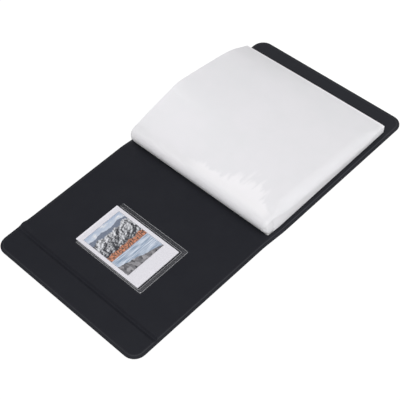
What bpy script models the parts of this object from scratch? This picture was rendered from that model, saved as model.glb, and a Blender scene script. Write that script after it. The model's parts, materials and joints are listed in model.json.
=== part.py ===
"""Photo album lying open: padded cover, clear print pocket and a bound block of frosted leaves.

The front cover and its fore-edge flap lie to the left (-X), the spine strip in the middle, and the
back cover with the leaves to the right (+X). Metres, +Z up, origin on the table under the middle of
the open cover. Every hinge of the album runs along Y.
"""

import math
from dataclasses import dataclass

import bmesh
import bpy
import numpy as np
from mathutils import Matrix, Vector

MM = 0.001

# Cover panels, measured on the open album
COVER_HEIGHT = 196.0 * MM
FLAP_WIDTH = 29.1 * MM
FRONT_WIDTH = 139.0 * MM
SPINE_WIDTH = 28.2 * MM
BACK_WIDTH = 184.0 * MM
CORNER_RADIUS = 13.0 * MM

# Layers of the cover
SKIN_THICKNESS = 0.7 * MM
LINING_THICKNESS = 0.6 * MM
BOARD_THICKNESS = 1.1 * MM
FOAM_THICKNESS = 2.9 * MM
RIM_WIDTH = 2.2 * MM
RIM_STEP = 0.9 * MM
SHOULDER_WIDTH = 1.0 * MM
PADDING_ROUND = 9.0 * MM
BOARD_EDGE_ROUND = 2.0 * MM
BOARD_CORNER_RADIUS = 4.0 * MM

# Clearances between neighbouring pieces
FIT_GAP = 0.3 * MM
HINGE_GAP = 0.3 * MM

# Print and the pocket that holds it
PRINT_WIDTH = 54.0 * MM
PRINT_HEIGHT = 86.0 * MM
PRINT_THICKNESS = 0.8 * MM
PRINT_CORNER_RADIUS = 0.8 * MM
PICTURE_WIDTH = 46.0 * MM
PICTURE_HEIGHT = 62.0 * MM
PICTURE_THICKNESS = 0.2 * MM
PICTURE_TOP_BORDER = 7.0 * MM
PRINT_FROM_CREASE = 27.0 * MM
PRINT_FROM_NEAR_EDGE = 54.9 * MM
POCKET_FILM_THICKNESS = 0.4 * MM
POCKET_WELD_CREASE_SIDE = 2.2 * MM
POCKET_WELD_SPINE_SIDE = 5.9 * MM
POCKET_WELD_BOTTOM = 5.9 * MM
POCKET_MOUTH_SETBACK = 2.3 * MM
POCKET_CORNER_RADIUS = 1.2 * MM

# Bound leaves
LEAF_COUNT = 12
LEAF_WIDTH = 166.3 * MM
LEAF_HEIGHT = 185.2 * MM
BLOCK_MIDDLE_Y = 1.2 * MM
LEAF_THICKNESS = 0.5 * MM
LEAF_EDGE_CLEARANCE = 0.3 * MM
BLOCK_RISE_NEAR = 10.2 * MM
BLOCK_RISE_FAR = 11.0 * MM
BOW_HEIGHT = 18.2 * MM
BOW_PULL_IN = 1.8 * MM
BOW_FADE = 1.7
BOW_WINDOW = 0.06
BOW_STATIONS = (0.0, 0.2, 0.38, 0.78, 0.92, 1.0)
BOW_SHARES = (0.0, 0.56, 1.0, 0.68, 0.33, 0.0)

# Rolled binding and the tape that ties it to the spine
ROLL_RADIUS = 9.2 * MM
ROLL_FILM_THICKNESS = 0.6 * MM
ROLL_FROM_BACK_HINGE = 10.4 * MM
ROLL_TAB = 2.0 * MM
LEAF_HINGE_FROM_TAB = 0.4 * MM
TAPE_WIDTH = 9.0 * MM
TAPE_THICKNESS = 0.4 * MM

# Facets
CORNER_STEPS = 5
PADDING_STEPS = 5
ROLL_STEPS = 16
LEAF_COLUMNS = 15
LEAF_ROWS = 7
LEAST_RADIUS = 0.5 * MM

# Stack heights of the two kinds of panel, from the outer face up to the lining
BOARD_STACK = SKIN_THICKNESS + FIT_GAP + BOARD_THICKNESS + FIT_GAP + LINING_THICKNESS
PADDED_STACK = BOARD_STACK + FOAM_THICKNESS + FIT_GAP

# Hinge lines, worked out from the panels
SPINE_SLOPE = math.asin((PADDED_STACK - BOARD_STACK) / SPINE_WIDTH)
SPINE_RUN = SPINE_WIDTH * math.cos(SPINE_SLOPE)
COVER_LENGTH = FLAP_WIDTH + FRONT_WIDTH + SPINE_RUN + BACK_WIDTH
BACK_HINGE_X = COVER_LENGTH / 2 - BACK_WIDTH
FRONT_HINGE_X = BACK_HINGE_X - SPINE_RUN
CREASE_X = FRONT_HINGE_X - FRONT_WIDTH
NEAR_Y = -COVER_HEIGHT / 2
FAR_Y = COVER_HEIGHT / 2
BLOCK_NEAR_Y = BLOCK_MIDDLE_Y - LEAF_HEIGHT / 2
BLOCK_FAR_Y = BLOCK_MIDDLE_Y + LEAF_HEIGHT / 2

BACK_HINGE = Vector((BACK_HINGE_X, 0.0, BOARD_STACK))
FRONT_HINGE = Vector((FRONT_HINGE_X, 0.0, PADDED_STACK))
CREASE = Vector((CREASE_X, 0.0, PADDED_STACK - RIM_STEP))

# The roll touches the tape, which lies along the sloping spine
ROLL_X = BACK_HINGE_X - ROLL_FROM_BACK_HINGE
ROLL_SEAT = ROLL_RADIUS + TAPE_THICKNESS + 2 * FIT_GAP
ROLL_Z = BOARD_STACK + ROLL_FROM_BACK_HINGE * math.tan(SPINE_SLOPE) + ROLL_SEAT / math.cos(SPINE_SLOPE)
ROLL_AXIS = Vector((ROLL_X, 0.0, ROLL_Z))
LEAF_AXIS = Vector((
    ROLL_X + ROLL_TAB + LEAF_HINGE_FROM_TAB,
    0.0,
    ROLL_Z + ROLL_RADIUS + LEAF_HINGE_FROM_TAB,
))


@dataclass
class Outline:
    """Rounded rectangle in plan, with a rim width for each of its sides."""

    x_low: float
    x_high: float
    y_low: float
    y_high: float
    radius_low: float
    radius_high: float
    rim_x_low: float = RIM_WIDTH
    rim_x_high: float = RIM_WIDTH
    rim_y_low: float = RIM_WIDTH
    rim_y_high: float = RIM_WIDTH

    def ring(self, rim_share, inset, z):
        """Loop of points drawn in by a share of the rim and a further inset."""
        x_low = self.x_low + rim_share * self.rim_x_low + inset
        x_high = self.x_high - rim_share * self.rim_x_high - inset
        y_low = self.y_low + rim_share * self.rim_y_low + inset
        y_high = self.y_high - rim_share * self.rim_y_high - inset
        low = max(self.radius_low - rim_share * self.rim_x_low - inset, LEAST_RADIUS)
        high = max(self.radius_high - rim_share * self.rim_x_high - inset, LEAST_RADIUS)
        corners = (
            (x_high - high, y_low + high, high, -90.0),
            (x_high - high, y_high - high, high, 0.0),
            (x_low + low, y_high - low, low, 90.0),
            (x_low + low, y_low + low, low, 180.0),
        )
        points = []
        for centre_x, centre_y, radius, start in corners:
            for step in range(CORNER_STEPS + 1):
                angle = math.radians(start + 90.0 * step / CORNER_STEPS)
                x = centre_x + radius * math.cos(angle)
                y = centre_y + radius * math.sin(angle)
                points.append((x, y, z))
        return points


def clear_scene():
    """Remove every object that the scene holds."""
    for obj in list(bpy.data.objects):
        bpy.data.objects.remove(obj, do_unlink=True)


def make_material(name, colour, roughness, alpha=1.0):
    """Plain Principled material of one piece."""
    material = bpy.data.materials.new(name)
    material.use_nodes = True
    shader = material.node_tree.nodes["Principled BSDF"]
    shader.inputs["Base Color"].default_value = (*colour, 1.0)
    shader.inputs["Roughness"].default_value = roughness
    shader.inputs["Metallic"].default_value = 0.0
    shader.inputs["Alpha"].default_value = alpha
    return material


def make_axis(name, position, parent=None):
    """Empty that stands on a joint's axis and carries the pieces that move about it."""
    axis = bpy.data.objects.new(name, None)
    bpy.context.collection.objects.link(axis)
    axis.empty_display_size = 10 * MM
    if parent is not None:
        axis.parent = parent
    axis.location = position - (world_place(parent) if parent else Vector())
    return axis


def world_place(axis):
    """World position of an axis, summed along its parents."""
    place = Vector(axis.location)
    while axis.parent is not None:
        axis = axis.parent
        place += Vector(axis.location)
    return place


def add_piece(name, shape, axis, material, slope=0.0):
    """Turn a bmesh in world places into a named object that hangs on an axis.

    A piece with a slope is given flat about the axis, and the object is turned by it.
    """
    bmesh.ops.recalc_face_normals(shape, faces=shape.faces[:])
    mesh = bpy.data.meshes.new(name)
    shape.to_mesh(mesh)
    shape.free()
    if slope == 0.0:
        mesh.transform(Matrix.Translation(-world_place(axis)))
    mesh.materials.append(material)
    mesh.shade_smooth()
    mesh.set_sharp_from_angle(angle=math.radians(35.0))
    obj = bpy.data.objects.new(name, mesh)
    bpy.context.collection.objects.link(obj)
    obj.parent = axis
    obj.rotation_euler = (0.0, slope, 0.0)
    return obj


def loft(rings):
    """Closed skin through a row of rings with equal point counts, capped at both ends."""
    shape = bmesh.new()
    loops = [[shape.verts.new(point) for point in points] for points in rings]
    count = len(rings[0])
    for lower, upper in zip(loops, loops[1:]):
        for index in range(count):
            following = (index + 1) % count
            shape.faces.new((lower[index], lower[following], upper[following], upper[index]))
    shape.faces.new(list(reversed(loops[0])))
    shape.faces.new(loops[-1])
    return shape


def extrude_profile(profile, y_low, y_high):
    """Prism along Y over a profile of (x, z) points."""
    return loft([[(x, y, z) for x, z in profile] for y in (y_low, y_high)])


def trim(shape, point, normal):
    """Cut away what lies beyond a plane and close the cut with one face."""
    everything = shape.verts[:] + shape.edges[:] + shape.faces[:]
    bmesh.ops.bisect_plane(
        shape, geom=everything, plane_co=point, plane_no=normal, clear_outer=True, dist=1e-7
    )
    open_edges = [edge for edge in shape.edges if edge.is_boundary]
    bmesh.ops.holes_fill(shape, edges=open_edges, sides=0)


def stepped_sheet(outline, top, step, thickness, shoulder):
    """Sheet whose rim lies one step lower than its middle, like a raised panel."""
    low_under = top - step - thickness
    low_over = top - step
    high_under = top - thickness
    return loft([
        outline.ring(1.0, 2 * shoulder, high_under),
        outline.ring(1.0, shoulder, low_under),
        outline.ring(0.0, 0.0, low_under),
        outline.ring(0.0, 0.0, low_over),
        outline.ring(1.0, 0.0, low_over),
        outline.ring(1.0, shoulder, top),
    ])


def padded_skin(outline, floor, rim_low, rounding):
    """Outer skin as a shallow tray: flat rim on top, rounded sides, flat belly on the floor."""
    rim_high = rim_low + SKIN_THICKNESS
    angles = [math.pi / 2 * step / PADDING_STEPS for step in range(PADDING_STEPS + 1)]
    rise = rim_low - floor
    inner = []
    outer = []
    for angle in angles:
        drawn_in = rounding * (1.0 - math.cos(angle))
        height = rise * (1.0 - math.sin(angle))
        inner.append(outline.ring(1.0, SKIN_THICKNESS + drawn_in, floor + SKIN_THICKNESS + height))
        outer.append(outline.ring(1.0, drawn_in, floor + height))
    edge = [outline.ring(0.0, 0.0, rim_high), outline.ring(0.0, 0.0, rim_low)]
    return loft(list(reversed(inner)) + edge + outer)


def foam_pad(outline, floor, thickness, rounding):
    """Padding that fills the tray of a padded skin, with the same rounded sides."""
    start = SKIN_THICKNESS + 2 * FIT_GAP
    rings = []
    for step in range(PADDING_STEPS, -1, -1):
        angle = math.pi / 2 * step / PADDING_STEPS
        inset = start + rounding * (1.0 - math.cos(angle))
        height = floor + SKIN_THICKNESS + FIT_GAP + thickness * (1.0 - math.sin(angle))
        rings.append(outline.ring(1.0, inset, height))
    return loft(rings)


def plate(outline, rim_share, inset, low, high):
    """Flat plate drawn in from an outline."""
    return loft([outline.ring(rim_share, inset, low), outline.ring(rim_share, inset, high)])


@dataclass
class CoverPanel:
    """One panel of the cover with its skin, board, lining and, if padded, its foam."""

    name: str
    outline: Outline
    floor: float
    padded: bool
    open_low: bool
    open_high: bool

    @property
    def top(self):
        """Height of the lining's upper face."""
        return self.floor + (PADDED_STACK if self.padded else BOARD_STACK)

    def lining(self):
        """Lining with its rim on the free edges only: at a soft hinge it runs on to the line."""
        outline = self.outline
        spare = 2 * (RIM_WIDTH + 2 * SHOULDER_WIDTH)
        longer = Outline(
            outline.x_low - (spare if self.open_low else 0.0),
            outline.x_high + (spare if self.open_high else 0.0),
            outline.y_low,
            outline.y_high,
            outline.radius_low,
            outline.radius_high,
        )
        shape = stepped_sheet(longer, self.top, RIM_STEP, LINING_THICKNESS, SHOULDER_WIDTH)
        if self.open_low:
            trim(shape, (outline.x_low, 0.0, 0.0), (-1.0, 0.0, 0.0))
        if self.open_high:
            trim(shape, (outline.x_high, 0.0, 0.0), (1.0, 0.0, 0.0))
        return shape

    def board(self):
        """Stiff board under the lining."""
        high = self.top - LINING_THICKNESS - FIT_GAP
        inset = max(2 * SHOULDER_WIDTH, SKIN_THICKNESS) + FIT_GAP
        edge = Outline(
            self.outline.x_low,
            self.outline.x_high,
            self.outline.y_low,
            self.outline.y_high,
            max(self.outline.radius_low, BOARD_CORNER_RADIUS),
            max(self.outline.radius_high, BOARD_CORNER_RADIUS),
        )
        return plate(edge, 1.0, inset, high - BOARD_THICKNESS, high)

    def skin(self):
        """Outer skin."""
        rim_low = self.top - RIM_STEP - LINING_THICKNESS - FIT_GAP - SKIN_THICKNESS
        rounding = PADDING_ROUND if self.padded else BOARD_EDGE_ROUND
        return padded_skin(self.outline, self.floor, rim_low, rounding)

    def foam(self):
        """Padding between the board and the skin."""
        return foam_pad(self.outline, self.floor, FOAM_THICKNESS, PADDING_ROUND)

    def build(self, axis, finishes, slope=0.0):
        """Make the panel's pieces on one axis."""
        add_piece(f"{self.name}_skin", self.skin(), axis, finishes["skin"], slope)
        if self.padded:
            add_piece(f"{self.name}_foam", self.foam(), axis, finishes["foam"], slope)
        add_piece(f"{self.name}_board", self.board(), axis, finishes["board"], slope)
        add_piece(f"{self.name}_lining", self.lining(), axis, finishes["lining"], slope)


def cover_panels():
    """The four panels, each with its hinge gaps; the spine's is flat about the back hinge."""
    half_gap = FIT_GAP / 2
    flap = Outline(
        CREASE_X - FLAP_WIDTH, CREASE_X - half_gap, NEAR_Y, FAR_Y, CORNER_RADIUS, LEAST_RADIUS
    )
    front = Outline(
        CREASE_X + half_gap, FRONT_HINGE_X - HINGE_GAP, NEAR_Y, FAR_Y, LEAST_RADIUS, LEAST_RADIUS
    )
    spine = Outline(-SPINE_WIDTH + HINGE_GAP, -HINGE_GAP, NEAR_Y, FAR_Y, LEAST_RADIUS, LEAST_RADIUS)
    back = Outline(
        BACK_HINGE_X + HINGE_GAP, BACK_HINGE_X + BACK_WIDTH, NEAR_Y, FAR_Y, LEAST_RADIUS, CORNER_RADIUS
    )
    return (
        CoverPanel("flap", flap, 0.0, padded=True, open_low=False, open_high=False),
        CoverPanel("front", front, 0.0, padded=True, open_low=False, open_high=True),
        CoverPanel("spine", spine, -BOARD_STACK, padded=False, open_low=True, open_high=True),
        CoverPanel("back", back, 0.0, padded=False, open_low=True, open_high=False),
    )


def print_outline():
    """Plan of the print where it lies in its pocket."""
    x_low = CREASE_X + PRINT_FROM_CREASE
    y_low = NEAR_Y + PRINT_FROM_NEAR_EDGE
    return Outline(
        x_low,
        x_low + PRINT_WIDTH,
        y_low,
        y_low + PRINT_HEIGHT,
        PRINT_CORNER_RADIUS,
        PRINT_CORNER_RADIUS,
        rim_x_low=(PRINT_WIDTH - PICTURE_WIDTH) / 2,
        rim_x_high=(PRINT_WIDTH - PICTURE_WIDTH) / 2,
        rim_y_low=PRINT_HEIGHT - PICTURE_HEIGHT - PICTURE_TOP_BORDER,
        rim_y_high=PICTURE_TOP_BORDER,
    )


def build_print(axis, finishes):
    """White card with a sunk window, and the picture that lies in it."""
    outline = print_outline()
    low = PADDED_STACK + FIT_GAP
    high = low + PRINT_THICKNESS
    sill = high - PICTURE_THICKNESS - FIT_GAP
    card = loft([
        outline.ring(0.0, 0.0, low),
        outline.ring(0.0, 0.0, high),
        outline.ring(1.0, -FIT_GAP, high),
        outline.ring(1.0, -FIT_GAP, sill),
    ])
    add_piece("print_card", card, axis, finishes["card"])
    picture = plate(outline, 1.0, 0.0, sill + FIT_GAP, high)
    add_piece("print_picture", picture, axis, finishes["picture"])


def build_pocket(axis, finishes):
    """Clear film welded to the lining on three sides and open towards the album's top."""
    held = print_outline()
    wall = FIT_GAP + POCKET_FILM_THICKNESS
    step = FIT_GAP + PRINT_THICKNESS
    mouth = held.y_high - POCKET_MOUTH_SETBACK
    outline = Outline(
        held.x_low - wall - POCKET_WELD_CREASE_SIDE,
        held.x_high + wall + POCKET_WELD_SPINE_SIDE,
        held.y_low - wall - POCKET_WELD_BOTTOM,
        mouth + 2 * (wall + POCKET_WELD_BOTTOM),
        POCKET_CORNER_RADIUS,
        POCKET_CORNER_RADIUS,
        rim_x_low=POCKET_WELD_CREASE_SIDE,
        rim_x_high=POCKET_WELD_SPINE_SIDE,
        rim_y_low=POCKET_WELD_BOTTOM,
        rim_y_high=POCKET_WELD_BOTTOM,
    )
    top = PADDED_STACK + FIT_GAP + step + POCKET_FILM_THICKNESS
    film = loft([
        outline.ring(1.0, wall - FIT_GAP / 2, top - POCKET_FILM_THICKNESS),
        outline.ring(1.0, wall - FIT_GAP / 2, top - step - POCKET_FILM_THICKNESS),
        outline.ring(0.0, 0.0, top - step - POCKET_FILM_THICKNESS),
        outline.ring(0.0, 0.0, top - step),
        outline.ring(1.0, 0.0, top - step),
        outline.ring(1.0, FIT_GAP / 2, top),
    ])
    trim(film, (0.0, mouth, 0.0), (0.0, 1.0, 0.0))
    add_piece("pocket_film", film, axis, finishes["clear_film"])


def arc(centre, radius, start, end, steps):
    """Points (x, z) on an arc, angles in degrees from +X towards +Z."""
    points = []
    for step in range(steps + 1):
        angle = math.radians(start + (end - start) * step / steps)
        points.append((centre.x + radius * math.cos(angle), centre.z + radius * math.sin(angle)))
    return points


def build_binding(axis, finishes):
    """Rolled film round the leaves' welded stubs, with the stubs as one core."""
    tab_x = ROLL_X + ROLL_TAB
    inner = ROLL_RADIUS - ROLL_FILM_THICKNESS
    outside = arc(ROLL_AXIS, ROLL_RADIUS, 90.0, 270.0, ROLL_STEPS)
    inside = arc(ROLL_AXIS, inner, 270.0, 90.0, ROLL_STEPS)
    profile = [(tab_x, ROLL_Z + ROLL_RADIUS)]
    profile += outside
    profile += [(tab_x, ROLL_Z - ROLL_RADIUS), (tab_x, ROLL_Z - inner)]
    profile += inside
    profile += [(tab_x, ROLL_Z + inner)]
    add_piece("binding_roll", extrude_profile(profile, BLOCK_NEAR_Y, BLOCK_FAR_Y), axis, finishes["frosted"])
    core_radius = inner - FIT_GAP
    core = [(tab_x, ROLL_Z + core_radius)]
    core += arc(ROLL_AXIS, core_radius, 90.0, 270.0, ROLL_STEPS)
    core += [(tab_x, ROLL_Z - core_radius)]
    add_piece("binding_core", extrude_profile(core, BLOCK_NEAR_Y, BLOCK_FAR_Y), axis, finishes["frosted"])


def build_tape(axis, finishes):
    """Strip on the spine's lining, square under the roll."""
    centre = -ROLL_FROM_BACK_HINGE / math.cos(SPINE_SLOPE) - ROLL_SEAT * math.tan(SPINE_SLOPE)
    outline = Outline(
        centre - TAPE_WIDTH / 2,
        centre + TAPE_WIDTH / 2,
        BLOCK_NEAR_Y,
        BLOCK_FAR_Y,
        LEAST_RADIUS,
        LEAST_RADIUS,
    )
    strip = plate(outline, 0.0, 0.0, FIT_GAP, FIT_GAP + TAPE_THICKNESS)
    add_piece("binding_tape", strip, axis, finishes["tape"], SPINE_SLOPE)


def bow(share):
    """Height of the leaves' bow over the leaf's width, 0 at both edges and 1 at the ridge."""
    window = np.linspace(share - BOW_WINDOW, share + BOW_WINDOW, 9)
    fold_back = np.clip(window, 0.0, 1.0)
    smooth = float(np.mean(np.interp(fold_back, BOW_STATIONS, BOW_SHARES)))
    edge = min(share, 1.0 - share) / BOW_WINDOW
    if edge >= 1.0:
        return smooth
    plain = float(np.interp(share, BOW_STATIONS, BOW_SHARES))
    return plain + (smooth - plain) * edge


def block_floor(x):
    """Height of the cover's inner face under the leaves."""
    return BOARD_STACK + max(0.0, BACK_HINGE_X - x) * math.tan(SPINE_SLOPE)


def block_top(across, along):
    """Height of the top leaf at a share of its width and length: a wedge, bowed up along its far edge."""
    rise = BLOCK_RISE_NEAR + (BLOCK_RISE_FAR - BLOCK_RISE_NEAR) * along
    edge = BOARD_STACK + rise
    wedge = LEAF_AXIS.z + (edge - LEAF_AXIS.z) * across
    return wedge + BOW_HEIGHT * bow(across) * along ** BOW_FADE


def leaf_shape(number):
    """One leaf of the block: leaf 1 lies on top, and each takes an even share of the height.

    The more a leaf is bowed, the less far it reaches across the cover.
    """
    share = 1.0 - (number - 1) / LEAF_COUNT
    x_low = LEAF_AXIS.x + LEAF_EDGE_CLEARANCE
    shape = bmesh.new()
    faces = []
    for drop in (0.0, LEAF_THICKNESS):
        grid = []
        for row in range(LEAF_ROWS + 1):
            along = row / LEAF_ROWS
            y = BLOCK_NEAR_Y + LEAF_HEIGHT * along
            width = LEAF_WIDTH - BOW_PULL_IN * share ** 2 * along ** BOW_FADE
            points = []
            for column in range(LEAF_COLUMNS + 1):
                across = column / LEAF_COLUMNS
                x = x_low + width * across
                floor = block_floor(x)
                z = floor + (block_top(across, along) - floor) * share - drop
                points.append(shape.verts.new((x, y, z)))
            grid.append(points)
        faces.append(grid)
    for grid, turned in zip(faces, (False, True)):
        for row in range(LEAF_ROWS):
            for column in range(LEAF_COLUMNS):
                corners = [
                    grid[row][column],
                    grid[row][column + 1],
                    grid[row + 1][column + 1],
                    grid[row + 1][column],
                ]
                shape.faces.new(corners[::-1] if turned else corners)
    borders = [border(grid) for grid in faces]
    count = len(borders[0])
    for index in range(count):
        following = (index + 1) % count
        shape.faces.new((
            borders[0][index], borders[1][index], borders[1][following], borders[0][following]
        ))
    return shape


def border(grid):
    """Points round the edge of a grid, in order."""
    near = grid[0]
    right = [points[-1] for points in grid[1:]]
    far = grid[-1][-2::-1]
    left = [points[0] for points in grid[-2:0:-1]]
    return near + right + far + left


def make_finishes():
    """Materials of the pieces, with colours as they show in daylight."""
    return {
        "skin": make_material("cover_skin", (0.020, 0.022, 0.028), 0.55),
        "lining": make_material("cover_lining", (0.019, 0.021, 0.027), 0.50),
        "board": make_material("grey_board", (0.33, 0.31, 0.28), 0.90),
        "foam": make_material("padding_foam", (0.70, 0.69, 0.65), 0.95),
        "card": make_material("print_card", (0.86, 0.86, 0.86), 0.40),
        "picture": make_material("print_picture", (0.20, 0.24, 0.30), 0.25),
        "clear_film": make_material("clear_film", (0.90, 0.92, 0.95), 0.10, alpha=0.25),
        "frosted": make_material("frosted_film", (0.78, 0.78, 0.79), 0.35),
        "tape": make_material("binding_tape", (0.60, 0.60, 0.60), 0.70),
    }


def main():
    """Build the album's bodies on their axes, in the order in which they hang on each other."""
    clear_scene()
    finishes = make_finishes()
    flap, front, spine, back = cover_panels()

    back_axis = make_axis("back_place", Vector())
    back.build(back_axis, finishes)

    spine_axis = make_axis("spine_axis", BACK_HINGE, back_axis)
    spine.build(spine_axis, finishes, SPINE_SLOPE)
    build_tape(spine_axis, finishes)

    front_axis = make_axis("front_axis", FRONT_HINGE, spine_axis)
    front.build(front_axis, finishes)
    build_pocket(front_axis, finishes)

    flap_axis = make_axis("flap_axis", CREASE, front_axis)
    flap.build(flap_axis, finishes)

    print_axis = make_axis("print_place", Vector((0.0, 0.0, PADDED_STACK)), front_axis)
    build_print(print_axis, finishes)

    roll_axis = make_axis("roll_axis", ROLL_AXIS, spine_axis)
    build_binding(roll_axis, finishes)

    for number in range(1, LEAF_COUNT + 1):
        leaf_axis = make_axis(f"leaf_{number:02d}_axis", LEAF_AXIS, roll_axis)
        add_piece(f"leaf_{number:02d}", leaf_shape(number), leaf_axis, finishes["frosted"])


main()
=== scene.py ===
"""Looks of an open photo album: dark leatherette cover, clear print pocket and frosted leaves.

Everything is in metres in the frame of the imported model: +X runs to the back cover's fore-edge, +Y to
the album's top and +Z up from the table.
"""

import json
import logging
import math
from dataclasses import dataclass
from enum import Enum
from typing import Any, Callable, Iterable, Mapping, Sequence

import bmesh
import bpy
import numpy as np
from mathutils import Matrix, Vector


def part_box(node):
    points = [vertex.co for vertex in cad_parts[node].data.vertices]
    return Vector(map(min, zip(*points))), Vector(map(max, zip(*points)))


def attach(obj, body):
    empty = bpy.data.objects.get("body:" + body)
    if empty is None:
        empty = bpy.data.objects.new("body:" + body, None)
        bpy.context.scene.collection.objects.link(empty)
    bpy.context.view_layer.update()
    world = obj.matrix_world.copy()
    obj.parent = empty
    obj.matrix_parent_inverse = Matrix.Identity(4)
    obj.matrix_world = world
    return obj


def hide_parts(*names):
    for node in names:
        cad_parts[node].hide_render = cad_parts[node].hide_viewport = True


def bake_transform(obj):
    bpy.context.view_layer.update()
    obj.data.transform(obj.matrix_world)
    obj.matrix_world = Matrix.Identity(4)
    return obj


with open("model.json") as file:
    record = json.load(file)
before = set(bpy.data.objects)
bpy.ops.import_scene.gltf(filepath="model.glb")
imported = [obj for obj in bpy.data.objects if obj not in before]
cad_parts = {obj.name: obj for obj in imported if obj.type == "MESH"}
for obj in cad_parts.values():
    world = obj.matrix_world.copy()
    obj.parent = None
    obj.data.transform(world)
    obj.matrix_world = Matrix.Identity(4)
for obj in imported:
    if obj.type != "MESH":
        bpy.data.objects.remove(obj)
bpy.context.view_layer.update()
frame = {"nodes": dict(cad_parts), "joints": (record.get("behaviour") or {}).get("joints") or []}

MM = 0.001
LOG = logging.getLogger("photo_album")
SMOOTH_ANGLE = math.radians(35.0)
SLICE_TOLERANCE = 1e-7
ROUND_STEPS = 6

Colour = tuple[float, float, float]
Point = tuple[float, float, float]
Span = tuple[float, float]
Field = np.ndarray
Surface = Callable[[Field, Field], Field]


class Slot(Enum):
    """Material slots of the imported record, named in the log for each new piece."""

    COVER_SKIN = "cover_skin"
    COVER_LINING = "cover_lining"
    PADDING_FOAM = "padding_foam"
    CLEAR_FILM = "clear_film"
    FROSTED_FILM = "frosted_film"


def smooth(value: Field) -> Field:
    """Smooth step from 0 to 1 over the unit interval."""
    share = np.clip(value, 0.0, 1.0)
    return share * share * (3.0 - 2.0 * share)


def quarter_arc(value: Field) -> Field:
    """Height of a quarter circle that climbs steeply from 0 and ends level at 1."""
    gone = 1.0 - np.clip(value, 0.0, 1.0)
    return np.sqrt(1.0 - gone * gone)


def quarter_steps(steps: int) -> list[float]:
    """Shares of a radius from 0 to 1, spaced as even points on a quarter circle are."""
    return [1.0 - math.cos(math.pi / 2 * step / steps) for step in range(steps + 1)]


def joint_place(name: str) -> Vector:
    """Point on the axis of a joint at rest."""
    return Vector(next(joint["pos_m"] for joint in frame["joints"] if joint["name"] == name))


def arithmetic(operation: str, reflected: bool = False) -> Callable[["Wire", "Wire | float"], "Wire"]:
    """Write a method that adds a Math node over a wire and another term.

    Args:
        operation: Blender's name of the operation.
        reflected: whether the other term comes first.

    Returns:
        The method.
    """

    def method(wire: "Wire", other: "Wire | float") -> "Wire":
        """Result of the operation."""
        terms = (other, wire) if reflected else (wire, other)
        return wire.math(operation, *terms)

    return method


class Wire:
    """Output socket of a node that takes part in Python arithmetic."""

    __add__ = arithmetic("ADD")
    __radd__ = arithmetic("ADD", reflected=True)
    __sub__ = arithmetic("SUBTRACT")
    __rsub__ = arithmetic("SUBTRACT", reflected=True)
    __mul__ = arithmetic("MULTIPLY")
    __rmul__ = arithmetic("MULTIPLY", reflected=True)
    __truediv__ = arithmetic("DIVIDE")
    __pow__ = arithmetic("POWER")
    most = arithmetic("MAXIMUM")
    least = arithmetic("MINIMUM")

    def __init__(self, graph: "NodeGraph", socket: bpy.types.NodeSocket) -> None:
        """Keep the socket and the graph that it belongs to."""
        self.graph = graph
        self.socket = socket

    def math(self, operation: str, *terms: "Wire | float") -> "Wire":
        """Add a Math node over the given terms."""
        return self.graph.wire("ShaderNodeMath", {"operation": operation}, dict(enumerate(terms)))

    def above(self, least: float) -> "Wire":
        """Share from 0 to 1, squeezed into the stretch from least to 1."""
        return least + (1.0 - least) * self

    def wave(self) -> "Wire":
        """Sine."""
        return self.math("SINE", self)

    def rise(self, low: "Wire | float", high: "Wire | float") -> "Wire":
        """Smooth step from 0 at low to 1 at high."""
        inputs = {"Value": self, "From Min": low, "From Max": high}
        return self.graph.wire("ShaderNodeMapRange", {"interpolation_type": "SMOOTHSTEP"}, inputs)


class NodeGraph:
    """Builder over a node tree, with one method that makes every node."""

    def __init__(self, tree: bpy.types.NodeTree) -> None:
        """Start on an emptied tree."""
        self.tree = tree
        tree.nodes.clear()

    def node(
        self,
        kind: str,
        settings: Mapping[str, Any] | None = None,
        inputs: Mapping[str | int, Any] | None = None,
    ) -> bpy.types.Node:
        """Make a node.

        Args:
            kind: Blender's name of the node type.
            settings: properties that are set first; "stops" fills a ramp and "curve" a float curve.
            inputs: value or wire of each socket, by name or number.

        Returns:
            The new node.
        """
        node = self.tree.nodes.new(kind)
        for name, value in (settings or {}).items():
            if name == "stops":
                fill_ramp(node.color_ramp, value)
            elif name == "curve":
                fill_curve(node.mapping, value)
            else:
                setattr(node, name, value)
        for key, value in (inputs or {}).items():
            if isinstance(value, Wire):
                self.tree.links.new(value.socket, node.inputs[key])
            else:
                node.inputs[key].default_value = value
        return node

    def wire(
        self,
        kind: str,
        settings: Mapping[str, Any] | None = None,
        inputs: Mapping[str | int, Any] | None = None,
        output: str | int = 0,
    ) -> Wire:
        """Make a node and take one of its outputs.

        Args:
            kind: Blender's name of the node type.
            settings: properties of the node.
            inputs: value or wire of each socket.
            output: name or number of the output.

        Returns:
            The output as a wire.
        """
        return Wire(self, self.node(kind, settings, inputs).outputs[output])

    def parts(self, vector: Wire) -> tuple[Wire, Wire, Wire]:
        """X, Y and Z of a vector."""
        x, y, z = self.node("ShaderNodeSeparateXYZ", None, {0: vector}).outputs
        return Wire(self, x), Wire(self, y), Wire(self, z)

    def vector(self, x: Wire | float, y: Wire | float, z: Wire | float) -> Wire:
        """Vector of three values."""
        return self.wire("ShaderNodeCombineXYZ", None, {0: x, 1: y, 2: z})

    def noise(self, place: Wire, scale: float, detail: float = 2.0, roughness: float = 0.5) -> Wire:
        """Noise of a given number of waves to the metre."""
        inputs = {"Vector": place, "Scale": scale, "Detail": detail, "Roughness": roughness}
        return self.wire("ShaderNodeTexNoise", None, inputs)


def fill_ramp(ramp: bpy.types.ColorRamp, stops: Sequence[tuple[float, Colour]]) -> None:
    """Give a colour ramp its stops.

    Args:
        ramp: the ramp, which starts with two stops.
        stops: place and colour of each stop, in order.
    """
    while len(ramp.elements) < len(stops):
        ramp.elements.new(1.0)
    for element, (place, colour) in zip(ramp.elements, stops):
        element.position = place
        element.color = (*colour, 1.0)


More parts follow.
